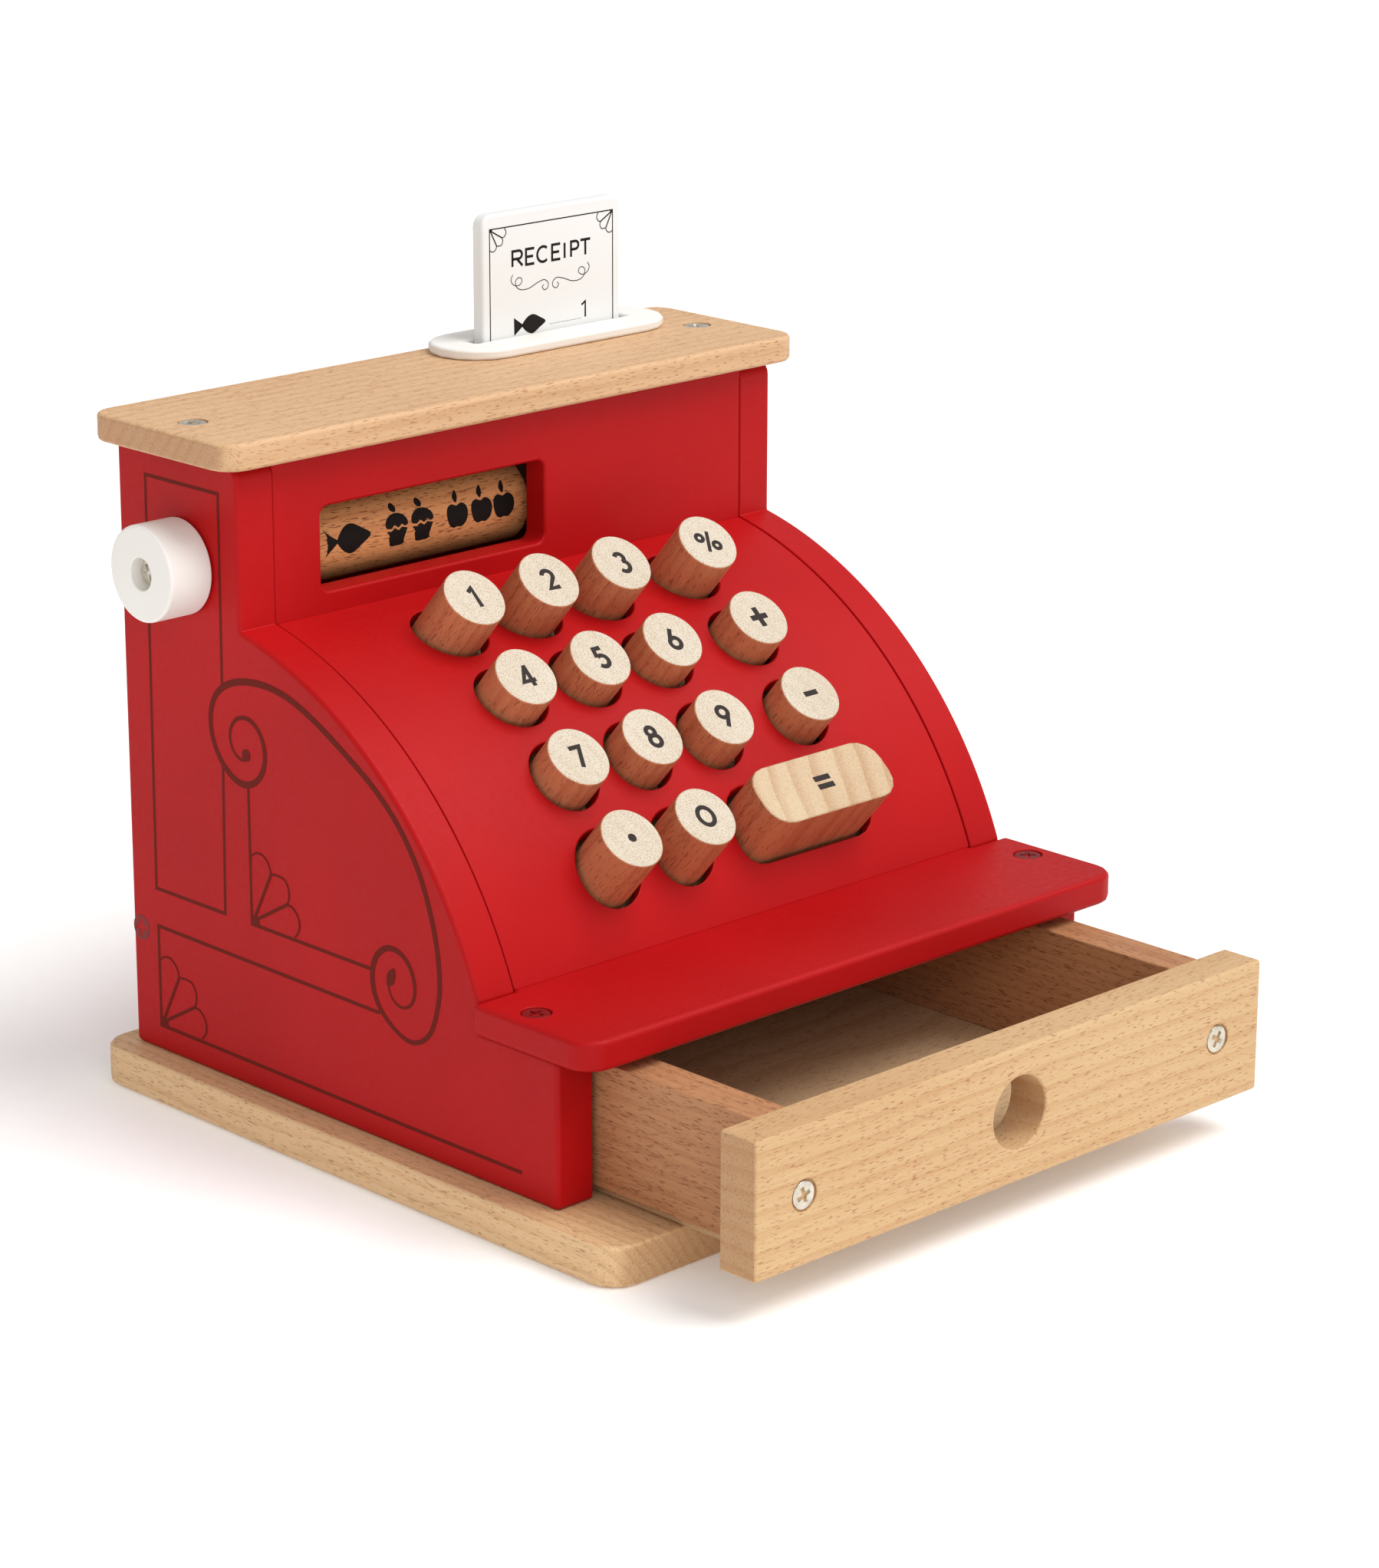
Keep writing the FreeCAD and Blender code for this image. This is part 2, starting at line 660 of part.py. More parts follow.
screw_shape = wood_screw()
new_screws("top_board_screws", [(across, TOP_MIDDLE, "case_top + top_thick - screw_sunk")
                                for across in ("-top_screw_across", "top_screw_across")])
new_screws("ledge_screws", [(across, "ledge_screw_deep", LEDGE_TOP + " - screw_sunk")
                            for across in ("-top_screw_across", "top_screw_across")])
new_screws("side_panel_screws", [(side + "(case_width / 2 - screw_sunk)", "rear_screw_deep",
                                  "rear_screw_up") for side in ("-", "")], FACING_LEFT, FACING_RIGHT)
new_screws("base_screws", [(side + "(case_width - side_thick) / 2", deep, "screw_sunk")
                           for side in ("-", "") for deep in ("base_screw_front", "base_screw_rear")],
           FACING_DOWN)
new_screws("drawer_front_screws", [(across, DRAWER_REAR_FACE + " - front_thick + screw_sunk", front_middle)
                                   for across in ("-front_screw_across", "front_screw_across")],
           FACING_PLAYER)
knob_floor = "-(case_width / 2 + knob_gap + knob_thick - knob_recess_depth)"
new_screws("knob_screw", [(knob_floor + " - screw_rim - screw_seat", "drum_deep", "drum_up")], FACING_LEFT)


# ---- check and write -----------------------------------------------------------------------

doc.recompute()
for thing in doc.Objects:
    if "Invalid" in thing.State or "Error" in thing.State:
        raise RuntimeError(thing.Label + " is in error")
os.makedirs("parts", exist_ok=True)
for part in parts:
    shape = part.Shape
    if shape.isNull() or not shape.isValid() or not shape.Solids:
        raise RuntimeError(part.Label + " has no good shape")
    shape.exportStep("parts/" + part.Label + ".step")
    print(part.Label, len(shape.Solids), round(shape.Volume / 1000, 1), shape.BoundBox)
print(len(parts), "sub-parts written")
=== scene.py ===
import json
import math

import bpy
from mathutils import Matrix, Quaternion, Vector
from mathutils.geometry import delaunay_2d_cdt

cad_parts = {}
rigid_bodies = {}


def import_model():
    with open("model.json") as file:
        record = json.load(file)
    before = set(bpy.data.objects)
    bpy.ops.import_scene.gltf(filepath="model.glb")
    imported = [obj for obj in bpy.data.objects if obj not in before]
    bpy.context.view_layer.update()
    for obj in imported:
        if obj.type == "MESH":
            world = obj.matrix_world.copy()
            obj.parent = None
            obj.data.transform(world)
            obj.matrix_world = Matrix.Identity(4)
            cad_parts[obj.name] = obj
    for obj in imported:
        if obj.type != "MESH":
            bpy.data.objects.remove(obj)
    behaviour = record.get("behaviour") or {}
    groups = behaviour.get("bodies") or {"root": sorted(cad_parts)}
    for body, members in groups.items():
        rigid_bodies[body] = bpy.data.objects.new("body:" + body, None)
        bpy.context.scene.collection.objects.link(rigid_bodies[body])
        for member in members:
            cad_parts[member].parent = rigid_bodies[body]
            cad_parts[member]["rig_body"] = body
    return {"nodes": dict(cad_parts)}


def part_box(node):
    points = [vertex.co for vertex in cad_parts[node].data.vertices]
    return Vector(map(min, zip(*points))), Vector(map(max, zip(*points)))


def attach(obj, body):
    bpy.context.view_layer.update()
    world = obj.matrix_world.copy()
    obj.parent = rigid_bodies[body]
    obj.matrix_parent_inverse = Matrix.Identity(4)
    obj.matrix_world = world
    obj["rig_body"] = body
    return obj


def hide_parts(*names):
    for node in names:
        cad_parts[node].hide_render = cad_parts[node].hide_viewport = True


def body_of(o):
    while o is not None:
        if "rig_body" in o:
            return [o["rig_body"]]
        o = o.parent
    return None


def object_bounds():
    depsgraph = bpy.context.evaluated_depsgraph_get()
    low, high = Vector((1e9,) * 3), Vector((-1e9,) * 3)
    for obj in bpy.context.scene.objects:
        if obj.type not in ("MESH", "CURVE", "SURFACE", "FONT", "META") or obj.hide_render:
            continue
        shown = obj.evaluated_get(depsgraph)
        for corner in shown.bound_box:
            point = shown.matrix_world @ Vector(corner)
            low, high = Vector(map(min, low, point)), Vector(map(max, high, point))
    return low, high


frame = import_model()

# Looks of the toy cash register. Metres, +Z up, -Y towards the player.

MM = 0.001
cad_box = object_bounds()
nodes = frame["nodes"]


# ---- outlines

def mm(*points):
    """Points given in millimetres, in metres."""
    return [tuple(number * MM for number in point) for point in points]


def circle(across, up, radius, sides=48, squash=1.0):
    return [(across + radius * math.cos(math.tau * i / sides),
             up + radius * squash * math.sin(math.tau * i / sides)) for i in range(sides)]


def arc(across, up, radius, first, last, sides=12):
    """Points of an arc between two angles in degrees."""
    angles = [math.radians(first + (last - first) * i / sides) for i in range(sides + 1)]
    return [(across + radius * math.cos(a), up + radius * math.sin(a)) for a in angles]


def rectangle(low, high, corner):
    """Outline between two opposite corners, rounded by a corner radius."""
    (left, under), (right, top) = low, high
    return [(across, up, corner)
            for across, up in ((left, under), (right, under), (right, top), (left, top))]


def smooth(points, steps=6, closed=False):
    """Curve through the points (Catmull-Rom); any further numbers of a point are carried along."""
    points = [tuple(point) for point in points]
    if closed:
        around = [points[-1]] + points + points[:2]
    else:
        around = [points[0]] + points + [points[-1]]
    curve = []
    for a, b, c, d in zip(around, around[1:], around[2:], around[3:]):
        for step in range(steps):
            t = step / steps
            curve.append(tuple(
                0.5 * (2 * q + (r - p) * t + (2 * p - 5 * q + 4 * r - s) * t ** 2
                       + (3 * q - p - 3 * r + s) * t ** 3)
                for p, q, r, s in zip(a, b, c, d)))
    if not closed:
        curve.append(points[-1])
    return curve


def turned_right(a, b):
    """Unit vector square to the way from a to b, on its right."""
    across, up = b[0] - a[0], b[1] - a[1]
    length = math.hypot(across, up) or 1
    return Vector((up / length, -across / length))


CORNER_STEPS = 4  # per quarter turn
TINY = 1e-9


def soften(points, closed=True):
    """(place, normal, offset) of an anticlockwise outline.

    A point's third number rounds its corner. Places moved by -offset * d shrink the outline by d.
    """
    count = len(points)
    if closed:
        area = sum(p[0] * q[1] - q[0] * p[1] for p, q in zip(points, points[1:] + points[:1]))
        if area < 0:
            points = points[::-1]
    made = []
    for number, point in enumerate(points):
        here = Vector(point[:2])
        if not closed and number in (0, count - 1):
            pair = (points[0], points[1]) if number == 0 else (points[-2], points[-1])
            side = turned_right(*pair)
            made.append((here, side, side))
            continue
        before, after = Vector(points[number - 1][:2]), Vector(points[(number + 1) % count][:2])
        n1, n2 = turned_right(before, here), turned_right(here, after)
        if len(point) < 3:
            middle = (n1 + n2).normalized()
            made.append((here, middle, middle / max(middle.dot(n1), 0.3)))
            continue
        radius = point[2]
        convex = (here - before).cross(after - here) > 0
        sign = 1 if convex else -1
        turn = n1.angle_signed(n2)
        reach = radius * math.tan(abs(turn) / 2)
        centre = here + (before - here).normalized() * reach - n1 * radius * sign
        steps = max(1, round(CORNER_STEPS * abs(turn) / (math.pi / 2)))
        for step in range(steps + 1):
            normal = Matrix.Rotation(-turn * step / steps, 2) @ n1
            made.append((centre + normal * radius * sign, normal, normal))
    return made


# ---- solids: lists of places, normals and faces

def fill_between(loops, spacing):
    """Extra inner points, and the triangles between an outline and its holes.

    The triangles are anticlockwise, and index the loops' points, then the extra ones.
    """
    coords, edges = [], []
    for loop in loops:
        start = len(coords)
        coords += [Vector(p) for p in loop]
        edges += [(start + i, start + (i + 1) % len(loop)) for i in range(len(loop))]

    def inside(point):
        odd = False
        for a, b in edges:
            p, q = coords[a], coords[b]
            if (p.y > point.y) != (q.y > point.y):
                if point.x < (q.x - p.x) * (point.y - p.y) / (q.y - p.y) + p.x:
                    odd = not odd
        return odd

    def clear(point):
        return all((spot - point).length > 0.45 * spacing for spot in coords)

    extra = []
    if spacing:
        low = Vector((min(p.x for p in coords), min(p.y for p in coords)))
        high = Vector((max(p.x for p in coords), max(p.y for p in coords)))
        wide, tall = (max(1, round((high[i] - low[i]) / spacing)) for i in (0, 1))
        for i in range(1, wide):
            for j in range(1, tall):
                shift = 0.25 if j % 2 else -0.25
                spot = Vector((low.x + (high.x - low.x) * (i + shift) / wide,
                               low.y + (high.y - low.y) * j / tall))
                if inside(spot) and clear(spot):
                    extra.append(spot)
    result = delaunay_2d_cdt(coords + extra, edges, [], 0, TINY)
    places, triangles, origins = result[0], result[2], result[3]
    faces = []
    for face in triangles:
        a, b, c = (places[i] for i in face)
        if inside((a + b + c) / 3):
            corners = [origins[i][0] for i in face]
            faces.append(corners if (b - a).cross(c - a) > 0 else corners[::-1])
    return extra, faces


def band(lower, upper):
    """Faces between two closed rings, given as indices."""
    after = [*range(1, len(lower)), 0]
    return [[lower[i], lower[j], upper[j], upper[i]] for i, j in enumerate(after)]


SEAT_RIM = 0.4 * MM


def prism(outline, low, high, soft, holes=(), steps=3, spacing=0.0, soft_low=None):
    """Upright solid between two levels with rounded rims.

    holes are outlines, or (outline, depth) for one that is sunk from the top. spacing adds inner
    points to the caps, so that the solid can be bent afterwards. soft_low is the bottom rim's
    radius where it differs.
    """
    places, normals, faces = [], [], []
    soft_low = soft if soft_low is None else soft_low

    def add_ring(ring, shrink, level, tilt, sign):
        start = len(places)
        for here, normal, offset in ring:
            spot = here - offset * shrink
            places.append(Vector((spot.x, spot.y, level)))
            normals.append(Vector((normal.x * math.cos(tilt), normal.y * math.cos(tilt),
                                   math.sin(tilt) * sign)))
        return range(start, len(places))

    def stack(ring, bottom, rim_low, rim_high):
        """Rings from the bottom cap's edge to the top cap's edge; returns the two edges."""
        rings = []
        for level, rim, sign in ((bottom, rim_low, -1), (high, rim_high, 1)):
            for step in range(steps + 1) if rim else [0]:
                part = (step if sign > 0 else steps - step) / steps if rim else 0
                tilt = math.pi / 2 * part
                rings.append(add_ring(ring, rim * (1 - math.cos(tilt)),
                                      level - sign * rim * (1 - math.sin(tilt)), tilt, sign))
        for lower, upper in zip(rings, rings[1:]):
            faces.extend(band(lower, upper))
        return rings[0], rings[-1]

    first, last = stack(soften(outline), low, soft_low, soft)
    bottoms, tops = [first], [last]
    for hole in holes:
        depth = None
        if len(hole) == 2 and not isinstance(hole[1], tuple):
            hole, depth = hole
        ring = [(here, -normal, -offset) for here, normal, offset in soften(hole)][::-1]
        rim = min(soft, SEAT_RIM) if depth else soft
        bottom = high - depth if depth else low
        first, last = stack(ring, bottom, 0 if depth else soft_low, rim)
        tops.append(last)
        if depth is None:
            bottoms.append(first)
        else:
            start = len(places)
            places += [places[i].copy() for i in first]
            normals += [Vector((0, 0, 1))] * len(first)
            faces.append(list(range(start, len(places)))[::-1])

    for loops, way, level in ((bottoms, -1, low), (tops, 1, high)):
        index = [i for loop in loops for i in loop]
        if len(loops) == 1 and not spacing:
            faces.append(list(loops[0])[::way])
            continue
        extra, triangles = fill_between([[places[i].xy for i in loop] for loop in loops], spacing)
        start = len(places)
        places += [Vector((spot.x, spot.y, level)) for spot in extra]
        normals += [Vector((0, 0, way)) for spot in extra]
        index += list(range(start, len(places)))
        faces += [[index[i] for i in triangle][::way] for triangle in triangles]
    return places, normals, faces


def spin(profile, sides=64, closed=False):
    """Solid turned about Z from a profile of (radius, level[, corner radius])."""
    places, normals, faces, rows = [], [], [], []
    for here, normal, _ in soften(profile, closed):
        start = len(places)
        if here.x < TINY:
            places.append(Vector((0, 0, here.y)))
            normals.append(Vector((0, 0, math.copysign(1, normal.y))))
            rows.append([start] * sides)
            continue
        for x, y in circle(0, 0, 1, sides):
            places.append(Vector((here.x * x, here.x * y, here.y)))
            normals.append(Vector((normal.x * x, normal.x * y, normal.y)))
        rows.append(list(range(start, start + sides)))
    pairs = list(zip(rows, rows[1:])) + ([(rows[-1], rows[0])] if closed else [])
    for lower, upper in pairs:
        for corners in band(lower, upper):
            face = [c for k, c in enumerate(corners) if c not in corners[:k]]
            if len(face) > 2:
                faces.append(face)
    return places, normals, faces


INK_HEIGHT, INK_UNDER, INK_SOFT = 0.04 * MM, 0.02 * MM, 0.01 * MM
SAME_PLACE = 1e-7


def ribbon(points, width=None, closed=False, lift=0.0):
    """Printed line: a thin strip about a run of points, whose third number is its own width."""
    points = [p for number, p in enumerate(points)
              if not number or math.dist(p[:2], points[number - 1][:2]) > SAME_PLACE]
    middle = [Vector(p[:2]) for p in points]
    widths = [p[2] if len(p) > 2 else width for p in points]
    count = len(middle)
    top = INK_HEIGHT + lift
    places, normals, faces = [], [], []
    for i, here in enumerate(middle):
        before = middle[i - 1] if closed or i else None
        after = middle[(i + 1) % count] if closed or i < count - 1 else None
        n1 = turned_right(before, here) if before else turned_right(here, after)
        n2 = turned_right(here, after) if after else n1
        side = (n1 + n2).normalized()
        side = side / max(side.dot(n1), 0.6) * widths[i] / 2
        for offset, level in ((side, top), (-side, top), (-side, -INK_UNDER), (side, -INK_UNDER)):
            places.append(Vector((here.x + offset.x, here.y + offset.y, level)))
            normals.append(Vector((0, 0, 1)))
    for i in range(count if closed else count - 1):
        a, b = 4 * i, 4 * ((i + 1) % count)
        for k in range(4):
            faces.append([a + k, b + k, b + (k + 1) % 4, a + (k + 1) % 4])
    if not closed:
        faces += [[0, 1, 2, 3], [4 * count - 1 - k for k in range(4)]]
    return places, normals, faces


def blot(outline, spacing=0.0, lift=0.0):
    """Printed patch."""
    return prism(outline, -INK_UNDER, INK_HEIGHT + lift, INK_SOFT, steps=1, spacing=spacing)


def moved(solid, change, turn=None):
    """Solid carried by a matrix, or by a function for places and one for normals."""
    places, normals, faces = solid
    if isinstance(change, Matrix):
        turning = change.to_3x3()
        return [change @ p for p in places], [turning @ n for n in normals], faces
    return ([change(p) for p in places],
            [turn(p, n).normalized() for p, n in zip(places, normals)], faces)


def together(*solids):
    """Several solids as one."""
    places, normals, faces = [], [], []
    for solid in solids:
        start = len(places)
        places += solid[0]
        normals += solid[1]
        faces += [[start + i for i in face] for face in solid[2]]
    return places, normals, faces


def axes(origin, across, up):
    """Matrix of a frame at origin whose X, Y and Z are across, up and the way square to both."""
    across, up = Vector(across).normalized(), Vector(up).normalized()
    out = across.cross(up)
    columns = Matrix((across, up, out)).transposed()
    return Matrix.Translation(origin) @ columns.to_4x4()


# Frames for solids whose Z is to face a way.
RIGHTWAYS = axes((0, 0, 0), (0, 1, 0), (0, 0, 1))
LEFTWAYS = axes((0, 0, 0), (0, 0, 1), (0, 1, 0))
PLAYERWAYS = axes((0, 0, 0), (1, 0, 0), (0, 0, 1))
UPWAYS = Matrix.Identity(4)


def in_scene(name, data):
    thing = bpy.data.objects.new(name, data)
    bpy.context.scene.collection.objects.link(thing)
    return thing


def piece(name, solid, material, body, stands_for=(), facets=None):
    """Object on a body, smooth by its normals, or with edges sharper than facets degrees."""
    places, normals, faces = solid
    mesh = bpy.data.meshes.new(name)
    mesh.from_pydata(places, [], faces)
    mesh.polygons.foreach_set("use_smooth", [True] * len(mesh.polygons))
    if facets is None:
        mesh.normals_split_custom_set_from_vertices(normals)
    else:
        mesh.set_sharp_from_angle(angle=math.radians(facets))
    mesh.materials.append(material)
    thing = in_scene(name, mesh)
    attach(thing, body)
    if stands_for:
        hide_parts(*stands_for)
    return thing


def remake(node, solid, material, facets=None):
    """Piece that stands for a CAD node, on its body."""
    return piece(node + "_made", solid, material, body_of(nodes[node])[0], [node],
                 facets)


# ---- materials

class Paint:
    """One material under construction."""

    def __init__(self, name, **sockets):
        self.material = bpy.data.materials.new(name)
        self.material.use_nodes = True
        self.tree = self.material.node_tree
        self.shader = self.tree.nodes["Principled BSDF"]
        for socket, value in sockets.items():
            self.shader.inputs[socket.replace("_", " ")].default_value = value
        self.place = self.add("ShaderNodeTexCoord").outputs["Object"]

    def add(self, kind, inputs=None, **settings):
        node = self.tree.nodes.new(kind)
        for name, value in settings.items():
            setattr(node, name, value)
        for socket, value in (inputs or {}).items():
            self.feed(node.inputs[socket], value)
        return node

    def feed(self, socket, value):
        if isinstance(value, bpy.types.NodeSocket):
            self.tree.links.new(value, socket)
        else:
            socket.default_value = value

    def sum(self, operation, a, b=0.0, c=0.0):
        node = self.add("ShaderNodeMath", {0: a, 1: b, 2: c}, operation=operation)
        return node.outputs[0]

    def scaled(self, vector, factors):
        node = self.add("ShaderNodeVectorMath", {0: vector, 1: factors}, operation="MULTIPLY")
        return node.outputs[0]

    def noise(self, vector, scale=1.0, detail=2.0, rough=0.5):
        node = self.add("ShaderNodeTexNoise", {
            "Vector": vector, "Scale": scale, "Detail": detail, "Roughness": rough})
        return node.outputs["Fac"]

    def spread(self, value, low, high, to_low=0.0, to_high=1.0, kind="LINEAR"):
        node = self.add("ShaderNodeMapRange", {
            "Value": value, "From Min": low, "From Max": high,
            "To Min": to_low, "To Max": to_high}, interpolation_type=kind)
        return node.outputs["Result"]

    def blend(self, share, a, b):
        node = self.add("ShaderNodeMix", {0: share, 6: a, 7: b}, data_type="RGBA")
        return node.outputs[2]

    def tinted(self, field, low, high, tint, shade):
        return self.blend(self.spread(field, low, high), colour(*tint), colour(*shade))

    def dot(self, vector, way):
        node = self.add("ShaderNodeVectorMath", {0: vector, 1: way}, operation="DOT_PRODUCT")
        return node.outputs["Value"]

    def finish(self, base, sheen, rough, height, distance, strength=0.4):
        """The material, bumped by a height field.

        rough is a pair for the two ends of a sheen field, or one number where that is None.
        """
        bump = self.add("ShaderNodeBump", {"Height": height, "Distance": distance,
                                           "Strength": strength})
        self.feed(self.shader.inputs["Base Color"], base)
        if sheen is not None:
            rough = self.spread(sheen, 0.3, 0.7, *rough)
        self.feed(self.shader.inputs["Roughness"], rough)
        self.feed(self.shader.inputs["Normal"], bump.outputs[0])
        return self.material


def colour(red, green, blue):
    """Linear colour of 8-bit display values."""
    def straight(value):
        value /= 255
        return value / 12.92 if value <= 0.04045 else ((value + 0.055) / 1.055) ** 2.4
    return straight(red), straight(green), straight(blue), 1.0


RING_SWAY = 7.8 * MM
BRISTLE = (20, 160, 160)  # brush marks along X


def beech(name, along, pith, light=(224, 187, 142), dark=(196, 148, 100), fleck=(150, 100, 62),
          ring=0.003, ring_strength=0.35, fleck_strength=0.6, fleck_cut=0.60, rough=0.52,
          end_shade=0.35):
    """Beech: growth rings about a pith line, fine fibres and short dark flecks along the grain.

    end_shade darkens the faces that cut across the grain.
    """
    paint = Paint(name, Specular_IOR_Level=0.3)
    along = Vector(along).normalized()
    one = Vector((0, 0, 1)) if abs(along.z) < 0.1 else Vector((1, 0, 0))
    parts = [paint.dot(paint.place, way) for way in (along, one, along.cross(one))]
    grain = paint.add("ShaderNodeCombineXYZ", {0: parts[0], 1: parts[1], 2: parts[2]}).outputs[0]
    sway = paint.noise(paint.scaled(grain, (9, 26, 26)), detail=2.0)
    ride = [paint.sum("ADD", part, -offset) for part, offset in zip(parts[1:], pith)]
    squares = [paint.sum("MULTIPLY", part, part) for part in ride]
    radius = paint.sum("SQRT", paint.sum("ADD", *squares))
    turns = paint.sum("MULTIPLY_ADD", sway, RING_SWAY / ring,
                      paint.sum("MULTIPLY", radius, 1 / ring))
    phase = paint.sum("FRACT", turns)
    rise = paint.spread(phase, 0.35, 0.93, kind="SMOOTHSTEP")
    drop = paint.spread(phase, 0.93, 1.0, 1.0, 0.0)
    late = paint.sum("MULTIPLY", rise, drop)
    fibre = paint.noise(paint.scaled(grain, (38, 1500, 1500)), detail=3.0, rough=0.6)
    cloud = paint.noise(paint.scaled(grain, (5, 22, 22)), detail=2.0)
    specks = paint.noise(paint.scaled(grain, (330, 2300, 2300)), detail=1.0)
    specks = paint.spread(specks, fleck_cut, fleck_cut + 0.10, kind="SMOOTHSTEP")
    share = paint.sum("MULTIPLY", late, ring_strength)
    share = paint.sum("ADD", share, paint.spread(fibre, 0.3, 0.7, -0.16, 0.22))
    share = paint.sum("ADD", share, paint.spread(cloud, 0.3, 0.7, -0.18, 0.25))
    share = paint.add("ShaderNodeClamp", {0: share}).outputs[0]
    base = paint.blend(share, colour(*light), colour(*dark))
    base = paint.blend(paint.sum("MULTIPLY", specks, fleck_strength), base, colour(*fleck))
    facing = paint.dot(paint.add("ShaderNodeTexCoord").outputs["Normal"], along)
    end = paint.spread(paint.sum("ABSOLUTE", facing), 0.75, 0.95, 0.0, end_shade)
    base = paint.blend(end, base, colour(*fleck))
    height = paint.sum("MULTIPLY_ADD", specks, -1.0, paint.sum("MULTIPLY", fibre, 0.6))
    return paint.finish(base, fibre, (rough - 0.06, rough + 0.08), height, 0.05 * MM, 0.5)


def coloured(name, tint, shade, rough, grain=(60, 60, 60), gloss=0.2):
    """Satin paint: faint cloudiness, brushed-out texture and uneven sheen."""
    paint = Paint(name, Specular_IOR_Level=gloss)
    cloud = paint.noise(paint.scaled(paint.place, (14, 14, 14)), detail=3.0)
    fine = paint.noise(paint.scaled(paint.place, grain), scale=12.0, detail=4.0, rough=0.6)
    peel = paint.noise(paint.place, scale=520.0, detail=2.0)
    base = paint.tinted(cloud, 0.3, 0.7, tint, shade)
    base = paint.blend(paint.spread(fine, 0.55, 0.8, 0.0, 0.35), base, colour(*shade))
    height = paint.sum("MULTIPLY_ADD", fine, 0.8, peel)
    return paint.finish(base, peel, (rough - 0.05, rough + 0.06), height, 0.03 * MM, 0.6)


def metal(name, tint, shade, rough, metallic=1.0):
    """Slightly cloudy metal with fine scratches."""
    paint = Paint(name, Metallic=metallic)
    cloud = paint.noise(paint.place, scale=300.0, detail=3.0)
    scratch = paint.noise(paint.scaled(paint.place, (400, 5000, 2500)), detail=2.0)
    base = paint.tinted(cloud, 0.3, 0.7, tint, shade)
    return paint.finish(base, scratch, (rough - 0.08, rough + 0.1), scratch, 0.02 * MM)


def printed(name, tint, shade):
    """Ink with the unevenness of a screen print."""
    paint = Paint(name, Specular_IOR_Level=0.08)
    mottle = paint.noise(paint.place, scale=2600.0, detail=3.0, rough=0.7)
    base = paint.tinted(mottle, 0.35, 0.7, tint, shade)
    return paint.finish(base, mottle, (0.49, 0.63), mottle, 0.01 * MM)


red = coloured("red_satin_paint", (179, 14, 18), (167, 11, 14), 0.47, gloss=0.13)
white = coloured("white_satin_paint", (240, 237, 232), (232, 227, 220), 0.5, grain=BRISTLE)
card_white = coloured("card_white_paint", (233, 233, 232), (226, 225, 223), 0.55, grain=BRISTLE)
beech_deep = beech("beech_along_y", (0, 1, 0), (0.09, 0.02))
beech_wide = beech("beech_along_x", (1, 0, 0), (0.12, 0.05), (211, 172, 131), (188, 141, 98),
                   (146, 82, 46), ring=0.0045)
beech_front = beech("beech_drawer_front", (1, 0, 0), (-0.13, 0.16), (206, 172, 128),
                    (186, 140, 95), (150, 92, 54), ring=0.006, fleck_strength=0.7)
# Drawer sides: the same beech as the front, darkened and browned as painted shade and painted red
# bounce light.
beech_drawer_painted_shade = beech("beech_drawer_sides_painted_shade", (0, 1, 0), (0.2, 0.13), (182, 130, 90),
                     (154, 100, 64), (118, 70, 42), fleck_strength=0.75, fleck_cut=0.585)
# Drum: beech made lighter and more orange, as painted light and painted red bounce light inside
# the window.
beech_drum_painted_light = beech("beech_drum_painted_light", (1, 0, 0), (0.12, 0.06), (240, 172, 112), (204, 128, 74),
                   (120, 62, 32), ring=0.004, fleck_strength=0.8, fleck_cut=0.585)
ply = beech("plywood", (1, 0, 0), (0.3, 0.1), (216, 184, 142), (188, 148, 104), rough=0.6)
zinc = metal("zinc_plate", (222, 215, 202), (190, 182, 168), 0.3, 0.9)
red_metal = coloured("painted_screw_head", (140, 14, 15), (96, 9, 10), 0.45, gloss=0.3)
wire = metal("spring_wire", (190, 190, 188), (140, 140, 140), 0.3)
key_ink = printed("key_ink", (46, 40, 38), (62, 55, 52))
black_ink = printed("black_ink", (28, 25, 24), (40, 36, 34))
line_ink = printed("line_ink", (100, 24, 14), (108, 28, 18))


# ---- casing

EDGE = 1.6 * MM  # radius of the side panels' rims
HEAD = 4.2 * MM  # radius of a screw head
SEAT = 4.6 * MM  # radius of the seat about it
SEAT_DEPTH = 1.0 * MM


def middle_of(node):
    low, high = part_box(node)
    return (low + high) / 2


def pair_across(node):
    """Places across of a node's two screws."""
    low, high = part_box(node)
    return [low.x + HEAD, high.x - HEAD]


def seats(node, up, radius=SEAT):
    """Seats for a node's two screws, at one height on the board's face."""
    return [(circle(x, up, radius, 40), SEAT_DEPTH) for x in pair_across(node)]


def board_up(node, corner, soft, holes=()):
    """Level board with the node's box."""
    low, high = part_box(node)
    return prism(rectangle(low.xy, high.xy, corner), low.z, high.z, soft, holes)


def board_facing(node, corner, soft, holes=()):
    """Board that faces the player, with the node's box."""
    low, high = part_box(node)
    outline = rectangle((low.x, low.z), (high.x, high.z), corner)
    return moved(prism(outline, -high.y, -low.y, soft, holes), PLAYERWAYS)


remake("base_board", board_up("base_board", 10 * MM, 1.5 * MM), beech_deep)

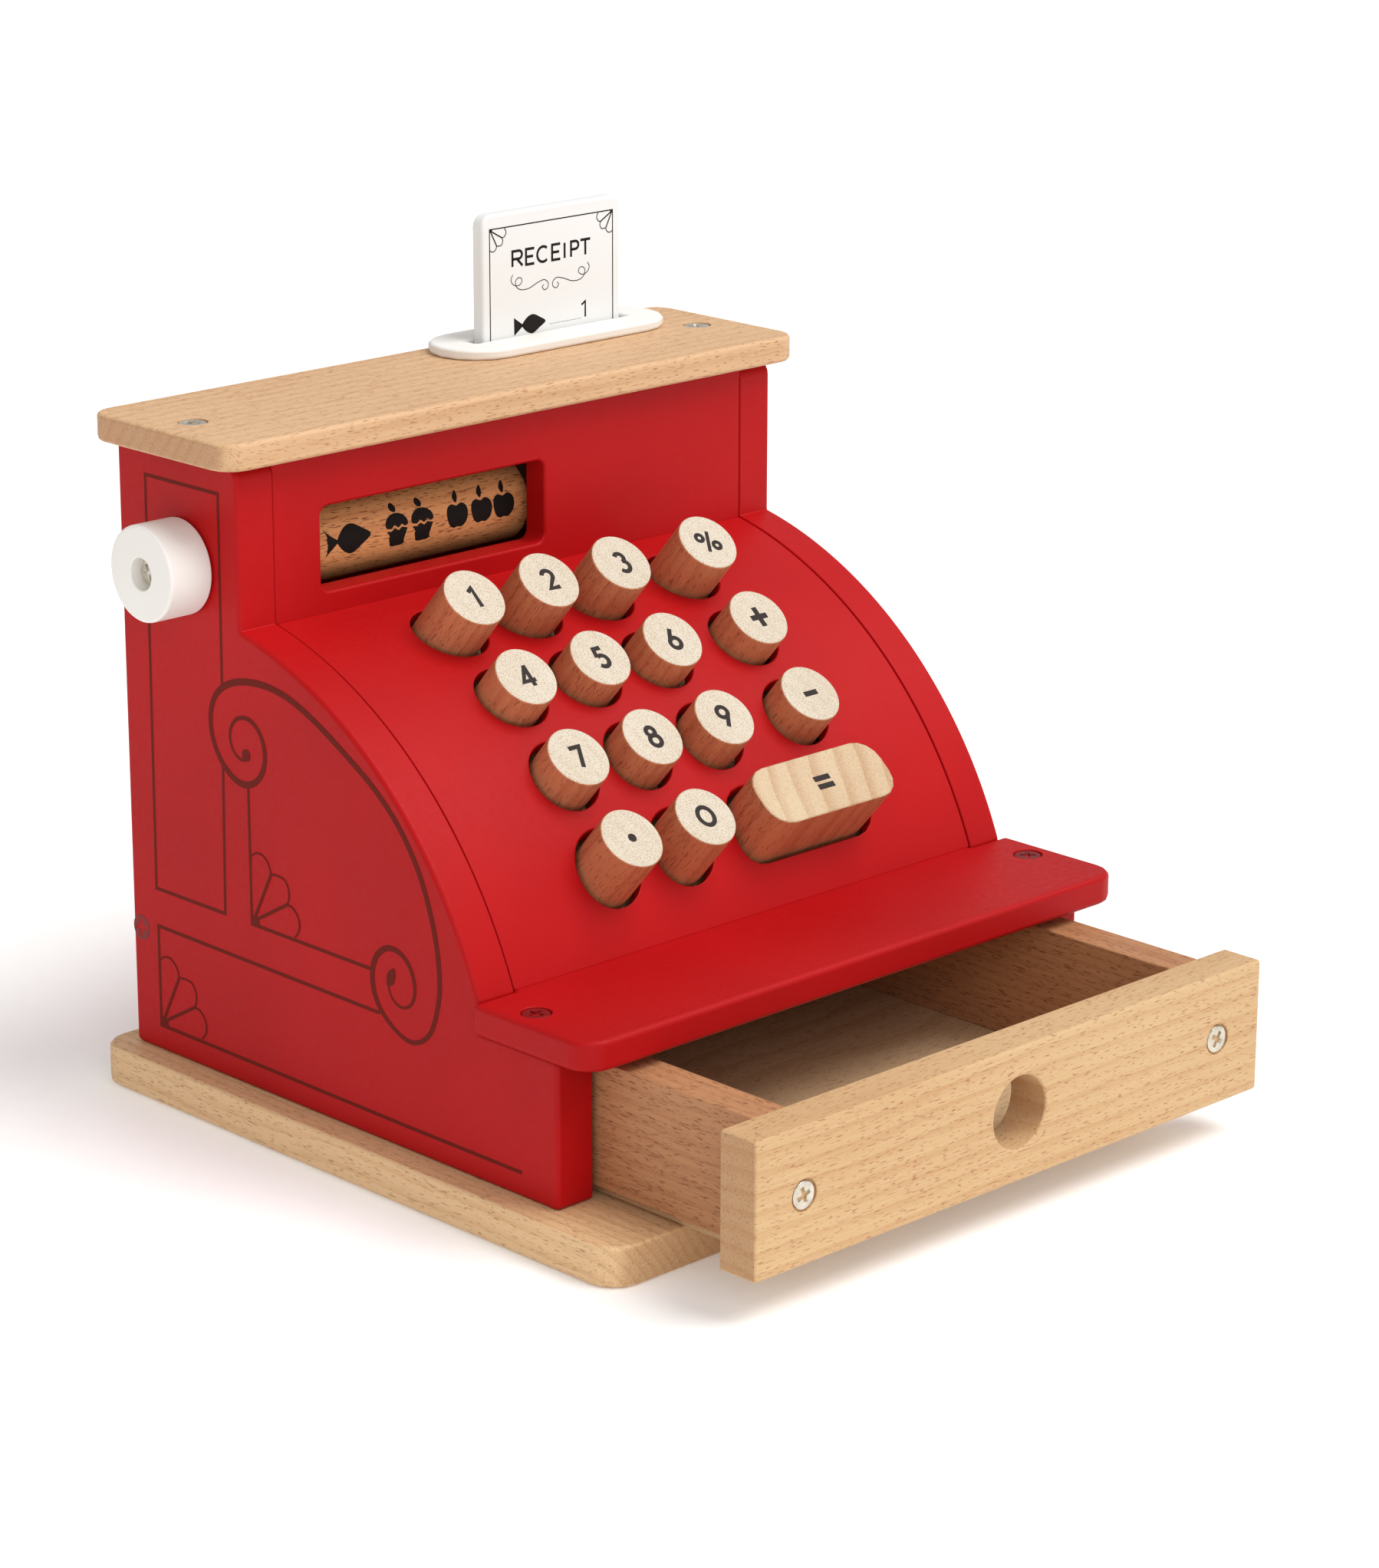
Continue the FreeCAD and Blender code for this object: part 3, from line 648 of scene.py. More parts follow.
side_low, side_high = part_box("left_side_panel")
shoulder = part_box("window_panel")[0].y
ledge_low, ledge_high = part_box("ledge")
CURVE = Vector((82.3, 13.8)) * MM  # middle of the stepped front's curve, as depth and height
CURVE_RADIUS = 144.7 * MM
curve_top = shoulder, CURVE.y + math.sqrt(CURVE_RADIUS ** 2 - (shoulder - CURVE.x) ** 2)
curve_foot = (CURVE.x - math.sqrt(CURVE_RADIUS ** 2 - (ledge_high.z - CURVE.y) ** 2),
              ledge_high.z)
angles = [math.degrees(math.atan2(p[1] - CURVE.y, p[0] - CURVE.x))
          for p in (curve_top, curve_foot)]
curve = arc(CURVE.x, CURVE.y, CURVE_RADIUS, *angles, sides=60)
WIDER = 1.2 * EDGE
side_outline = ([(side_low.y, side_low.z, WIDER), (side_high.y, side_low.z, WIDER),
                 (side_high.y, side_high.z, WIDER), (shoulder, side_high.z, 4.5 * MM),
                 curve_top + (0.4 * MM,)] + curve[1:-1]
                + [curve_foot + (2 * MM,), (curve_foot[0], ledge_low.z, 0.3 * MM),
                   (side_low.y, ledge_low.z, WIDER)])
upended = [(point[1], point[0]) + tuple(point[2:]) for point in side_outline]
right_low, right_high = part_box("right_side_panel")
for node, outline, low, high, facing in (
        ("right_side_panel", side_outline, right_low.x, right_high.x, RIGHTWAYS),
        ("left_side_panel", upended, -side_high.x, -side_low.x, LEFTWAYS)):
    remake(node, moved(prism(outline, low, high, EDGE, soft_low=0.5 * MM), facing), red)

remake("back_panel", board_facing("back_panel", 0.5 * MM, 0.4 * MM), red)

window_outline = rectangle((-78.5 * MM, 161.3 * MM), (11.2 * MM, 187.4 * MM), 3 * MM)
remake("window_panel", board_facing("window_panel", 1.1 * MM, 1.0 * MM, [window_outline]), red)

# DECK has its origin on the curve's axis and its Z out of the deck, square to the rows of keys.
TILT = math.radians(41.2)
PANEL_DROP = 0.2 * MM
DECK = axes((0, CURVE.x, CURVE.y), (1, 0, 0), (0, math.cos(TILT), math.sin(TILT)))
DECK_BACK = DECK.inverted()


def bend_point(place):
    """Place of a deck plan point, whose Z is its height over the curved face.

    The ends are cut square to meet the window panel and the ledge.
    """
    radius = CURVE_RADIUS - PANEL_DROP + place.z
    spot = DECK @ Vector((place.x, place.y, math.sqrt(radius ** 2 - place.y ** 2)))
    spot.y = min(spot.y, shoulder)
    spot.z = max(spot.z, ledge_high.z)
    return spot


def bend_normal(place, normal):
    radius = CURVE_RADIUS + place.z
    slope = place.y / radius
    out = Vector((0, slope, math.sqrt(1 - slope ** 2)))
    return DECK.to_3x3() @ (Vector((normal.x, normal.y, 0)) + out * normal.z)


key_spots = {}
for node in nodes:
    if node.endswith("_spring"):
        key = node[:-len("_spring")]
        key_spots[key] = DECK_BACK @ middle_of(key)
deck_top = (DECK_BACK @ Vector((0, *curve_top))).y
deck_foot = (DECK_BACK @ Vector((0, *curve_foot))).y
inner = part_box("key_panel")[1].x
half = inner - 0.4 * MM
KEY_HOLE, BAR_HOLE = 11.8 * MM, 28.55 * MM
panel_holes = []
for key, spot in key_spots.items():
    if key == "key_equals":
        hole = rectangle((spot.x - BAR_HOLE, spot.y - KEY_HOLE),
                         (spot.x + BAR_HOLE, spot.y + KEY_HOLE), 8.7 * MM)
    else:
        hole = circle(spot.x, spot.y, KEY_HOLE, 56)
    panel_holes.append(hole)
rises = [deck_foot + (deck_top - deck_foot) * i / 48 for i in range(1, 48)]
PANEL_CORNER = 0.9 * MM
sheet_outline = ([(-half, deck_foot, PANEL_CORNER), (half, deck_foot, PANEL_CORNER)]
                 + [(half, up) for up in rises]
                 + [(half, deck_top, PANEL_CORNER), (-half, deck_top, PANEL_CORNER)]
                 + [(-half, up) for up in rises[::-1]])
sheet = prism(sheet_outline, -6 * MM, 0, 0.5 * MM, panel_holes, spacing=4.5 * MM)
remake("key_panel", moved(sheet, bend_point, bend_normal), red)

ledge_outline = [(ledge_low.x, ledge_low.y, 9 * MM), (ledge_high.x, ledge_low.y, 9 * MM),
                 (ledge_high.x, curve_foot[0], 1.8 * MM), (inner, curve_foot[0], 0.2 * MM),
                 (inner, ledge_high.y, 1.8 * MM), (-inner, ledge_high.y, 1.8 * MM),
                 (-inner, curve_foot[0], 0.2 * MM), (ledge_low.x, curve_foot[0], 1.8 * MM)]
ledge_screw_y = middle_of("ledge_screws").y
remake("ledge", prism(ledge_outline, ledge_low.z, ledge_high.z, 1.7 * MM,
                      seats("ledge_screws", ledge_screw_y)), red)

top_screw_y = middle_of("top_board_screws").y
plate_low, plate_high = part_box("receipt_slot_plate")
plate_x, plate_y = (plate_low.x + plate_high.x) / 2, (plate_low.y + plate_high.y) / 2
SLOT_WIDE, SLOT_DEEP = 33 * MM, 3.1 * MM
slot_hole = rectangle((plate_x - SLOT_WIDE, plate_y - SLOT_DEEP),
                      (plate_x + SLOT_WIDE, plate_y + SLOT_DEEP), 0.8 * MM)
remake("top_board", board_up("top_board", 8 * MM, 1.4 * MM,
                             seats("top_board_screws", top_screw_y) + [slot_hole]), beech_wide)
end_radius = (plate_high.y - plate_low.y) / 2 - 0.3 * MM
remake("receipt_slot_plate", board_up("receipt_slot_plate", end_radius, 1.1 * MM, [slot_hole]),
       white)
remake("receipt_card", board_facing("receipt_card", 4 * MM, 1.1 * MM), card_white)


# ---- keys

out_of_deck = DECK.to_3x3().col[2]
KEY_WOOD = {"rough": 0.6, "end_shade": 0.0}
# Key sides: beech darker and redder than the key tops, as painted shade and painted red bounce
# light.
key_sides_painted_shade = beech("key_beech_painted_shade", out_of_deck, (0.02, 0.05), (198, 128, 88), (172, 98, 64),
                  (132, 68, 42), ring=0.0035, ring_strength=0.45, fleck_cut=0.585, **KEY_WOOD)
key_tops = beech("key_end_grain", out_of_deck, (0.6, 0.3), (209, 197, 179), (188, 168, 140),
                 (150, 118, 86), ring=0.006, ring_strength=0.15, fleck_cut=0.555, **KEY_WOOD)
bar_top = beech("bar_end_grain", out_of_deck, (0.9, -0.25), (206, 182, 150), (172, 128, 88),
                (150, 108, 72), ring=0.0085, ring_strength=0.4, fleck_strength=0.4,
                fleck_cut=0.58, **KEY_WOOD)
KEY_RADIUS, KEY_LENGTH, TOP_LIFT = 10.25 * MM, 38.9 * MM, 153.4 * MM
FLANGE, FLANGE_THICK, FLANGE_ROUND = 13 * MM, 2.5 * MM, 0.3 * MM
BAR_HALF, BAR_FLANGE = 27 * MM, 29.75 * MM
for key, spot in key_spots.items():
    base = DECK @ Matrix.Translation((spot.x, spot.y, TOP_LIFT - KEY_LENGTH))
    if key == "key_equals":
        stem = prism(rectangle((-BAR_HALF, -KEY_RADIUS), (BAR_HALF, KEY_RADIUS), 8 * MM),
                     0, KEY_LENGTH, 0.7 * MM)
        flange = prism(rectangle((-BAR_FLANGE, -FLANGE), (BAR_FLANGE, FLANGE), 10 * MM),
                       0, FLANGE_THICK, FLANGE_ROUND)
        solid = together(stem, flange)
    else:
        solid = spin([(0, 0), (FLANGE, 0, FLANGE_ROUND), (FLANGE, FLANGE_THICK, FLANGE_ROUND),
                      (KEY_RADIUS, FLANGE_THICK, 0.2 * MM), (KEY_RADIUS, KEY_LENGTH, 0.7 * MM),
                      (0, KEY_LENGTH)])
    mesh = remake(key, moved(solid, base), key_sides_painted_shade).data
    mesh.materials.append(bar_top if key == "key_equals" else key_tops)
    for face in mesh.polygons:
        if (DECK_BACK @ face.center).z > TOP_LIFT - 0.25 * MM:
            face.material_index = 1


# ---- symbols

# Lines and rings of symbols one high, about a middle across.
STROKES = {
    "1": [[(-0.18, 0.76), (0.06, 0.93), (0.06, 0)]],
    "2": [arc(0, 0.68, 0.25, 165, -32, 14) + [(-0.20, 0.075), (0.30, 0.075)]],
    "3": [arc(0, 0.71, 0.215, 150, -80, 12), arc(0, 0.29, 0.26, 82, -150, 12)],
    "4": [[(0.13, 0), (0.13, 1)], [(0.13, 0.93), (-0.28, 0.27), (0.33, 0.27)]],
    "5": [[(0.22, 0.92), (-0.14, 0.92), (-0.19, 0.52)], arc(-0.01, 0.31, 0.27, 125, -145, 14)],
    "6": [[(0.12, 0.98), (-0.20, 0.42)]],
    "7": [[(-0.27, 0.92), (0.25, 0.92), (-0.10, 0)]],
    "9": [[(-0.12, 0.02), (0.20, 0.58)]],
    "percent": [[(0.23, 0.98), (-0.23, 0.02)]],
    "plus": [[(-0.44, 0.5), (0.44, 0.5)], [(0, 0.02), (0, 0.98)]],
    "minus": [[(-0.36, 0.5), (0.36, 0.5)]],
    "equals": [[(-0.44, 0.69), (0.44, 0.69)], [(-0.44, 0.31), (0.44, 0.31)]],
}
RINGS = {
    "6": [circle(0, 0.29, 0.255, 32)],
    "8": [circle(0, 0.72, 0.20, 32), circle(0, 0.28, 0.255, 32)],
    "9": [circle(0, 0.71, 0.255, 32)],
    "0": [circle(0, 0.5, 0.36, 32, 1.16)],
    "percent": [circle(-0.32, 0.76, 0.17, 32), circle(0.32, 0.24, 0.17, 32)],
}
SYMBOL_HEIGHT, SYMBOL_STROKE = 7.6 * MM, 1.5 * MM
BOLD = {"plus": 1.95 * MM, "minus": 1.85 * MM, "equals": 1.85 * MM, "percent": 1.3 * MM}


def drawn(name, height, stroke):
    """Solids of one symbol about its middle, each line lifted a little over the last."""
    solids = []
    for lines, closed, lift in ((STROKES, False, 0.0), (RINGS, True, 0.02 * MM)):
        for number, line in enumerate(lines.get(name, [])):
            run = [(x * height, (y - 0.5) * height) for x, y in line]
            solids.append(ribbon(run, stroke, closed, lift + number * 0.008 * MM))
    return solids


for key, spot in key_spots.items():
    name = key[len("key_"):]
    top = DECK @ Matrix.Translation((spot.x, spot.y, TOP_LIFT))
    solids = drawn(name, SYMBOL_HEIGHT, BOLD.get(name, SYMBOL_STROKE))
    if name == "point":
        solids = [blot(circle(0, 0, 1.45 * MM, 32))]
    piece(key + "_symbol", moved(together(*solids), top), key_ink, body_of(nodes[key])[0])


# ---- drum and knob

drum_low, drum_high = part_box("picture_drum")
AXIS = middle_of("picture_drum")
AXIS.x = 0
DRUM = axes(AXIS, (0, 1, 0), (0, 0, 1))
DRUM_BORE = 4.1 * MM
drum_radius = (drum_high.z - drum_low.z) / 2
remake("picture_drum", moved(spin([
    (DRUM_BORE, drum_low.x, 0.1 * MM), (drum_radius, drum_low.x, 0.5 * MM),
    (drum_radius, drum_high.x, 0.5 * MM), (DRUM_BORE, drum_high.x, 0.1 * MM)], 96, True), DRUM),
    beech_drum_painted_light)
knob_low, knob_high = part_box("knob")
knob_radius = (knob_high.z - knob_low.z) / 2
knob_thick = knob_high.x - knob_low.x
KNOB = axes((knob_high.x, AXIS.y, AXIS.z), (0, 0, 1), (0, 1, 0))
RECESS, RECESS_DEPTH = 4.9 * MM, 4 * MM
remake("knob", moved(spin([
    (0, 0), (knob_radius, 0, 0.9 * MM), (knob_radius, knob_thick, 1.0 * MM),
    (RECESS, knob_thick, 0.5 * MM), (RECESS, knob_thick - RECESS_DEPTH, 0.3 * MM),
    (0, knob_thick - RECESS_DEPTH)], 96), KNOB), white)


def on_drum(place):
    """Point given as along the drum, around it and above its face."""
    angle = place.y / drum_radius
    reach = drum_radius + place.z
    return Vector((place.x, AXIS.y - reach * math.cos(angle), AXIS.z + reach * math.sin(angle)))


def drum_normal(place, normal):
    angle = place.y / drum_radius
    out = Vector((0, -math.cos(angle), math.sin(angle)))
    around = Vector((0, math.sin(angle), math.cos(angle)))
    return Vector((normal.x, 0, 0)) + around * normal.y + out * normal.z


# Pictures one high or one long, about their middle.
FISH = smooth([(-0.24, 0), (-0.13, 0.21), (0, 0.32), (0.14, 0.33), (0.32, 0.2), (0.5, 0.02),
               (0.3, -0.18), (0.12, -0.33), (0, -0.32), (-0.14, -0.2)], 5, True)
FISH_TAIL = [(-0.19, 0), (-0.5, 0.32), (-0.49, -0.32)]
CAKE = smooth([(-0.5, 0.12), (-0.47, 0.32), (-0.28, 0.5), (0, 0.57), (0.28, 0.5), (0.47, 0.32),
               (0.5, 0.12), (0.36, 0.06), (0.22, 0.14), (0.06, 0.04), (-0.1, 0.14), (-0.26, 0.04),
               (-0.4, 0.06)], 4, True)
CUP = [(-0.47, -0.03), (-0.27, -0.06), (-0.1, 0.04), (0.06, -0.06), (0.22, 0.04), (0.47, -0.03),
       (0.32, -0.58), (0.2, -0.63), (-0.2, -0.63), (-0.32, -0.58)]
CHERRY = smooth([(0, 0.6), (-0.16, 0.7), (-0.17, 0.86), (-0.05, 0.97), (0.08, 0.86), (0.1, 0.7)],
                4, True)
APPLE = smooth([(0, 0.37), (-0.22, 0.45), (-0.43, 0.34), (-0.5, 0.06), (-0.41, -0.28),
                (-0.2, -0.46), (0, -0.43), (0.2, -0.46), (0.41, -0.28), (0.5, 0.06),
                (0.43, 0.34), (0.22, 0.45)], 4, True)
LEAF = smooth([(0, 0.48), (-0.1, 0.66), (-0.02, 0.84), (0.14, 0.97), (0.14, 0.7)], 4, True)


def figure(shapes, across, up, size, tall, spacing=0.0):
    """Printed figures about a middle."""
    return [blot([(across + x * size, up + y * tall) for x, y in shape], spacing=spacing)
            for shape in shapes]


FINE = 1.2 * MM  # so fine that the print bends with the drum
pictures = figure([FISH, FISH_TAIL], -57.4 * MM, 1.2 * MM, 18 * MM, 13.6 * MM, FINE)
for across in (-37.9, -27.6):
    pictures += figure([CAKE, CUP, CHERRY], across * MM, 1.1 * MM, 8.8 * MM, 8.6 * MM, FINE)
for across in (-13.4, -3.4, 5.8):
    pictures += figure([APPLE, LEAF], across * MM, 1.2 * MM, 8.6 * MM, 8.2 * MM, FINE)
piece("picture_drum_pictures", moved(together(*pictures), on_drum, drum_normal), black_ink, "drum")


# ---- drawer

front_screw_z = middle_of("drawer_front_screws").z
finger_hole = circle(0, 34.3 * MM, 11 * MM, 64)
front_seats = seats("drawer_front_screws", front_screw_z, SEAT + 0.2 * MM)
remake("drawer_front", board_facing("drawer_front", 1.1 * MM, 0.9 * MM,
                                    [finger_hole] + front_seats), beech_front)
for node in ("drawer_left_side", "drawer_right_side"):
    low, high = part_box(node)
    outline = rectangle((low.y, low.z), (high.y, high.z), 0.6 * MM)
    remake(node, moved(prism(outline, low.x, high.x, 0.5 * MM), RIGHTWAYS), beech_drawer_painted_shade)
remake("drawer_back", board_facing("drawer_back", 0.6 * MM, 0.5 * MM), beech_front)
remake("drawer_bottom", board_up("drawer_bottom", 0.5 * MM, 0.3 * MM), ply)


# ---- screws

SCREW_LENGTH, SHANK, FACE_RADIUS = 22 * MM, 1.9 * MM, 3.4 * MM
CROSS_ARM, CROSS_HALF, CROSS_DEPTH = 2.6 * MM, 0.7 * MM, 1.7 * MM


def screw():
    """Cross-head wood screw with its face at the origin and its point down."""
    body = spin([(0, -SCREW_LENGTH), (SHANK, -SCREW_LENGTH + 4 * MM, 0.5 * MM),
                 (SHANK, -2.9 * MM, 0.3 * MM), (HEAD, -0.6 * MM, 0.15 * MM),
                 (HEAD, 0, 0.35 * MM), (FACE_RADIUS, 0)], 48)
    cross = []
    for quarter in range(4):
        for x, y in ((CROSS_ARM, -CROSS_HALF), (CROSS_ARM, CROSS_HALF), (CROSS_HALF, CROSS_HALF)):
            for _ in range(quarter):
                x, y = -y, x
            cross.append((x, y))
    rim = circle(0, 0, FACE_RADIUS, 48)
    places = [Vector((x, y, 0)) for x, y in rim + cross]
    faces = fill_between([rim, cross], 0)[1]
    start, size = len(places), len(cross)
    places += [Vector((x, y, 0)) for x, y in cross]
    places += [Vector((x * 0.62, y * 0.7, -CROSS_DEPTH)) for x, y in cross]
    foot = range(start + size, start + 2 * size)
    faces += band(foot, range(start, start + size)) + [list(foot)]
    return together(body, (places, [Vector((0, 0, 1))] * len(places), faces))


def set_screws(node, spots, material):
    """Screws at (place, facing, turn of the cross in degrees)."""
    solids = [moved(screw(), Matrix.Translation(place) @ facing
                    @ Matrix.Rotation(math.radians(turn), 4, "Z"))
              for place, facing, turn in spots]
    remake(node, together(*solids), material, 35)


top_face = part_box("top_board_screws")[1].z
ledge_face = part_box("ledge_screws")[1].z
front_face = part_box("drawer_front_screws")[0].y
for node, deep, up, facing, turn, material in (
        ("top_board_screws", top_screw_y, top_face, UPWAYS, 25, zinc),
        ("ledge_screws", ledge_screw_y, ledge_face, UPWAYS, 10, red_metal),
        ("drawer_front_screws", front_face, front_screw_z, PLAYERWAYS, 20, zinc)):
    set_screws(node, [((x, deep, up), facing, turn + 37 * number)
                      for number, x in enumerate(pair_across(node))], material)
PROUD = 0.36 * MM
screws_low, screws_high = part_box("side_panel_screws")
side_y, side_z = middle_of("side_panel_screws").yz
set_screws("side_panel_screws", [((screws_low.x - PROUD, side_y, side_z), LEFTWAYS, 0),
                                 ((screws_high.x + PROUD, side_y, side_z), RIGHTWAYS, 0)],
           red_metal)
knob_screw_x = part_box("knob_screw")[0].x
set_screws("knob_screw", [((knob_screw_x, AXIS.y, AXIS.z), LEFTWAYS, 28)], zinc)


# ---- springs

SPRING_DROP = 5.2 * MM  # from a key's underside to its spring's foot


def coil(radius, wire_radius, rise, turns, per_turn=20, sides=8):
    """Spring that stands on the origin; its wire's middle rises by rise."""
    places, normals, faces = [], [], []
    count = round(turns * per_turn) + 1
    for i in range(count):
        a = math.tau * i / per_turn
        out = Vector((math.cos(a), math.sin(a), 0))
        middle = out * radius + Vector((0, 0, wire_radius + rise * i / (count - 1)))
        for k in range(sides):
            b = math.tau * k / sides
            normal = out * math.cos(b) + Vector((0, 0, math.sin(b)))
            places.append(middle + normal * wire_radius)
            normals.append(normal)
    for i in range(count - 1):
        for k in range(sides):
            a, b = i * sides, (i + 1) * sides
            j = (k + 1) % sides
            faces.append([a + k, b + k, b + j, a + j])
    faces += [list(range(sides)), list(range(len(places) - sides, len(places)))[::-1]]
    return places, normals, faces


for key, spot in key_spots.items():
    foot = DECK @ Matrix.Translation((spot.x, spot.y, TOP_LIFT - KEY_LENGTH - SPRING_DROP))
    remake(key + "_spring", moved(coil(3.6 * MM, 0.4 * MM, 16.1 * MM, 5), foot), wire)


# ---- line art on the side panels

# Depths and heights in millimetres; a third number is the line's width there.
STRAIGHTS = [
    [(60.7, 137.2), (60.2, 195.2), (94.6, 195.2), (95.7, 65.3), (62.2, 65.3), (61.3, 112.2)],
    [(49.6, 107.8), (49.5, 65.2), (-5.4, 65)],
    [(-8.8, 52.3), (95.4, 53.2), (95.4, 20.9), (-18, 20.2), (-70, 20.2)],
]
UPPER_SCROLL = [
    (-33.7, 57.6, 1.7), (-35.2, 64, 1.8), (-35.4, 70.5, 1.9), (-34.5, 78.5, 2), (-32.4, 86.7, 2),
    (-28.9, 96, 2), (-24.3, 104.1, 2), (-18.5, 111.4, 2), (-12.2, 117.2, 2), (-5.6, 122, 2),
    (4.4, 127.8, 2), (13.8, 132.8, 2), (21.5, 136.4, 2), (29.6, 139.3, 2.1), (37.1, 140.7, 2.1),
    (43.4, 140.9, 2.1), (50.2, 140.2, 2.1), (56.1, 138.6, 2.1), (60.6, 136.3, 2.1),
    (64, 133.1, 2), (65.9, 129.4, 2), (66.6, 125.3, 1.9), (66.1, 120.9, 1.9), (64.3, 116.6, 1.9),
    (61.4, 112.8, 1.9), (57.6, 109.9, 2), (53.4, 108.4, 2.1), (49.2, 108.7, 2.1),
    (45.4, 110.7, 2), (42.7, 114, 1.9), (41.4, 117.9, 1.8), (41.7, 121.8, 1.7),
    (43.2, 125.2, 1.6), (45.6, 127.7, 1.5), (48.7, 129, 1.4), (52.1, 128.8, 1.3),
    (55.2, 127.2, 1.2), (57.2, 124.2, 1.1), (57.5, 120.9, 1), (56.3, 118, 0.95),
    (54, 116.2, 0.9), (51.5, 115.8, 0.9), (49.6, 116.6, 1)]
LOWER_SCROLL = [
    (-33.7, 57.6, 1.7), (-31.4, 52.3, 1.6), (-27.6, 48.6, 1.5), (-23.2, 47, 1.4),
    (-18.4, 47.6, 1.4), (-13, 50.4, 1.5), (-9, 53.8, 1.7), (-6.6, 57.8, 1.9), (-5.8, 61.6, 2),
    (-6, 65.5, 2), (-7.5, 69.1, 2), (-10, 71.8, 1.9), (-12.9, 73.3, 1.8), (-16.3, 73.5, 1.7),
    (-19.8, 72.3, 1.6), (-22.7, 69.6, 1.5), (-24.3, 65.7, 1.4), (-24.5, 62.2, 1.2),
    (-23.2, 59, 1.1), (-20.7, 57, 0.9), (-17.6, 56.6, 0.8), (-14.9, 57.9, 0.7),
    (-13.3, 60.2, 0.7), (-12.9, 63, 0.8)]
FAN = [
    [(0.2, 19.5), (-0.3, 21.2), (-2.8, 22.9), (-6, 22.8), (-8.6, 20.6), (-9.6, 17.8)],
    [(-9.6, 17.8), (-12.2, 18.1), (-15.6, 17.7), (-17.5, 15.5), (-17.8, 12.4), (-16.8, 10.1)],
    [(-16.8, 10.1), (-19.8, 9.5), (-22.1, 6.7), (-22.2, 3.5), (-20.2, 0.8)],
]
STEMS = [[(-9.6, 17.8), (-1.6, 2.6)], [(-16.8, 10.1), (-2.4, 2)]]
TIP = [(0.5, -0.5), (0.5, 3.2), (-1.6, 2.9), (-3.4, 1.8), (-4.2, -0.5)]
SCROLL_DOT = [(-12.4, 61.6), (-12.2, 64.4), (-13.2, 66.4), (-15.6, 67.6), (-16, 65),
              (-15, 62.6)]


def corner_fan(corner, across, up, widths, lift, step, tip_lift):
    """Printed fan in a corner: petals, stems and a solid tip, each lifted a step over the last.

    across and up scale it, and widths are the petals' and the stems'.
    """
    def put(points):
        return mm(*[(corner[0] + y * across, corner[1] + z * up) for y, z in points])

    solids = []
    for number, petal in enumerate(FAN + STEMS):
        width = widths[number >= len(FAN)] * MM
        run = smooth(put(petal)) if len(petal) > 2 else put(petal)
        solids.append(ribbon(run, width, lift=lift + step * number))
    return solids + [blot(put(TIP), lift=tip_lift)]


def line_art():
    step = 0.01 * MM
    solids = [ribbon(mm(*run), 1.15 * MM, lift=step * number)
              for number, run in enumerate(STRAIGHTS)]
    solids += [ribbon(smooth(mm(*run)), lift=step * number)
               for number, run in enumerate((UPPER_SCROLL, LOWER_SCROLL), 4)]
    solids.append(blot(circle(50.1 * MM, 117.6 * MM, 1.9 * MM, 24), lift=6 * step))
    solids.append(blot(smooth(mm(*SCROLL_DOT), 4, True), lift=6 * step))
    for corner in ((49.5, 65.2), (95.4, 20.9)):
        solids += corner_fan(corner, 1, 1, (0.6, 1.0), 8 * step, step, 5 * step)
    return together(*solids)


art = line_art()
mirrored = art[0], art[1], [face[::-1] for face in art[2]]
for node, solid, face, way in (("left_side_panel", mirrored, side_low.x, -1),
                               ("right_side_panel", art, right_high.x, 1)):
    piece(node + "_lines", moved(solid, lambda p: Vector((face + way * p.z, p.x, p.y)),
                                 lambda p, n: Vector((way * n.z, n.x, n.y))), line_ink, "case")


# ---- print on the receipt

LETTERS = {
    "R": [[(0, 0), (0, 1), (0.55, 1)] + arc(0.55, 0.74, 0.26, 90, -90, 8) + [(0, 0.48)],
          [(0.38, 0.48), (0.85, 0)]],
    "E": [[(0.7, 1), (0, 1), (0, 0), (0.7, 0)], [(0, 0.5), (0.6, 0.5)]],
    "C": [arc(0.5, 0.5, 0.5, 48, 312, 18)],
    "I": [[(0, 0), (0, 1)]],
    "P": [[(0, 0), (0, 1), (0.38, 1)] + arc(0.38, 0.74, 0.26, 90, -90, 8) + [(0, 0.48)]],
    "T": [[(0, 1), (0.85, 1)], [(0.425, 0), (0.425, 1)]],
}
LETTER_STARTS = (37.2, 43, 47.8, 54.2, 59.6, 62.4, 66.5)
LETTER_WIDE, LETTER_TALL, LETTER_FOOT = 5.0, 4.9, 238.3
FRAME_LEFT, FRAME_RIGHT, FRAME_TOP, FRAME_FOOT = 27.6, 80.6, 251.3, 168.5
FAN_SCALE = 0.31
card_print = []
for letter, start in zip("RECEIPT", LETTER_STARTS):
    for number, line in enumerate(LETTERS[letter], 1):
        run = mm(*[(start + x * LETTER_WIDE, LETTER_FOOT + y * LETTER_TALL) for x, y in line])
        card_print.append(ribbon(run, 0.85 * MM, lift=0.006 * MM * number))
card_print.append(ribbon(mm((FRAME_LEFT, FRAME_FOOT), (FRAME_LEFT, FRAME_TOP),
                            (FRAME_RIGHT, FRAME_TOP), (FRAME_RIGHT, FRAME_FOOT)), 0.38 * MM))
for corner, sign in ((FRAME_LEFT, 1), (FRAME_RIGHT, -1)):
    card_print += corner_fan((corner, FRAME_TOP), -sign * FAN_SCALE, -FAN_SCALE, (0.3, 0.42),
                             0.01 * MM, 0.005 * MM, 0.005 * MM)
FLOURISH = [(37.3, 235.7), (36.5, 234.3), (37.3, 232.7), (39.3, 232), (41, 232.8),
            (40.9, 234.2), (39.5, 234.5), (38.4, 233.4), (38.9, 231.6), (41, 230.5),
            (44.2, 230.6), (47.5, 231.8), (50.5, 232.5), (52.3, 231.5), (52.3, 229.9),
            (50.9, 229.2), (49.9, 230.2), (50.5, 231)]
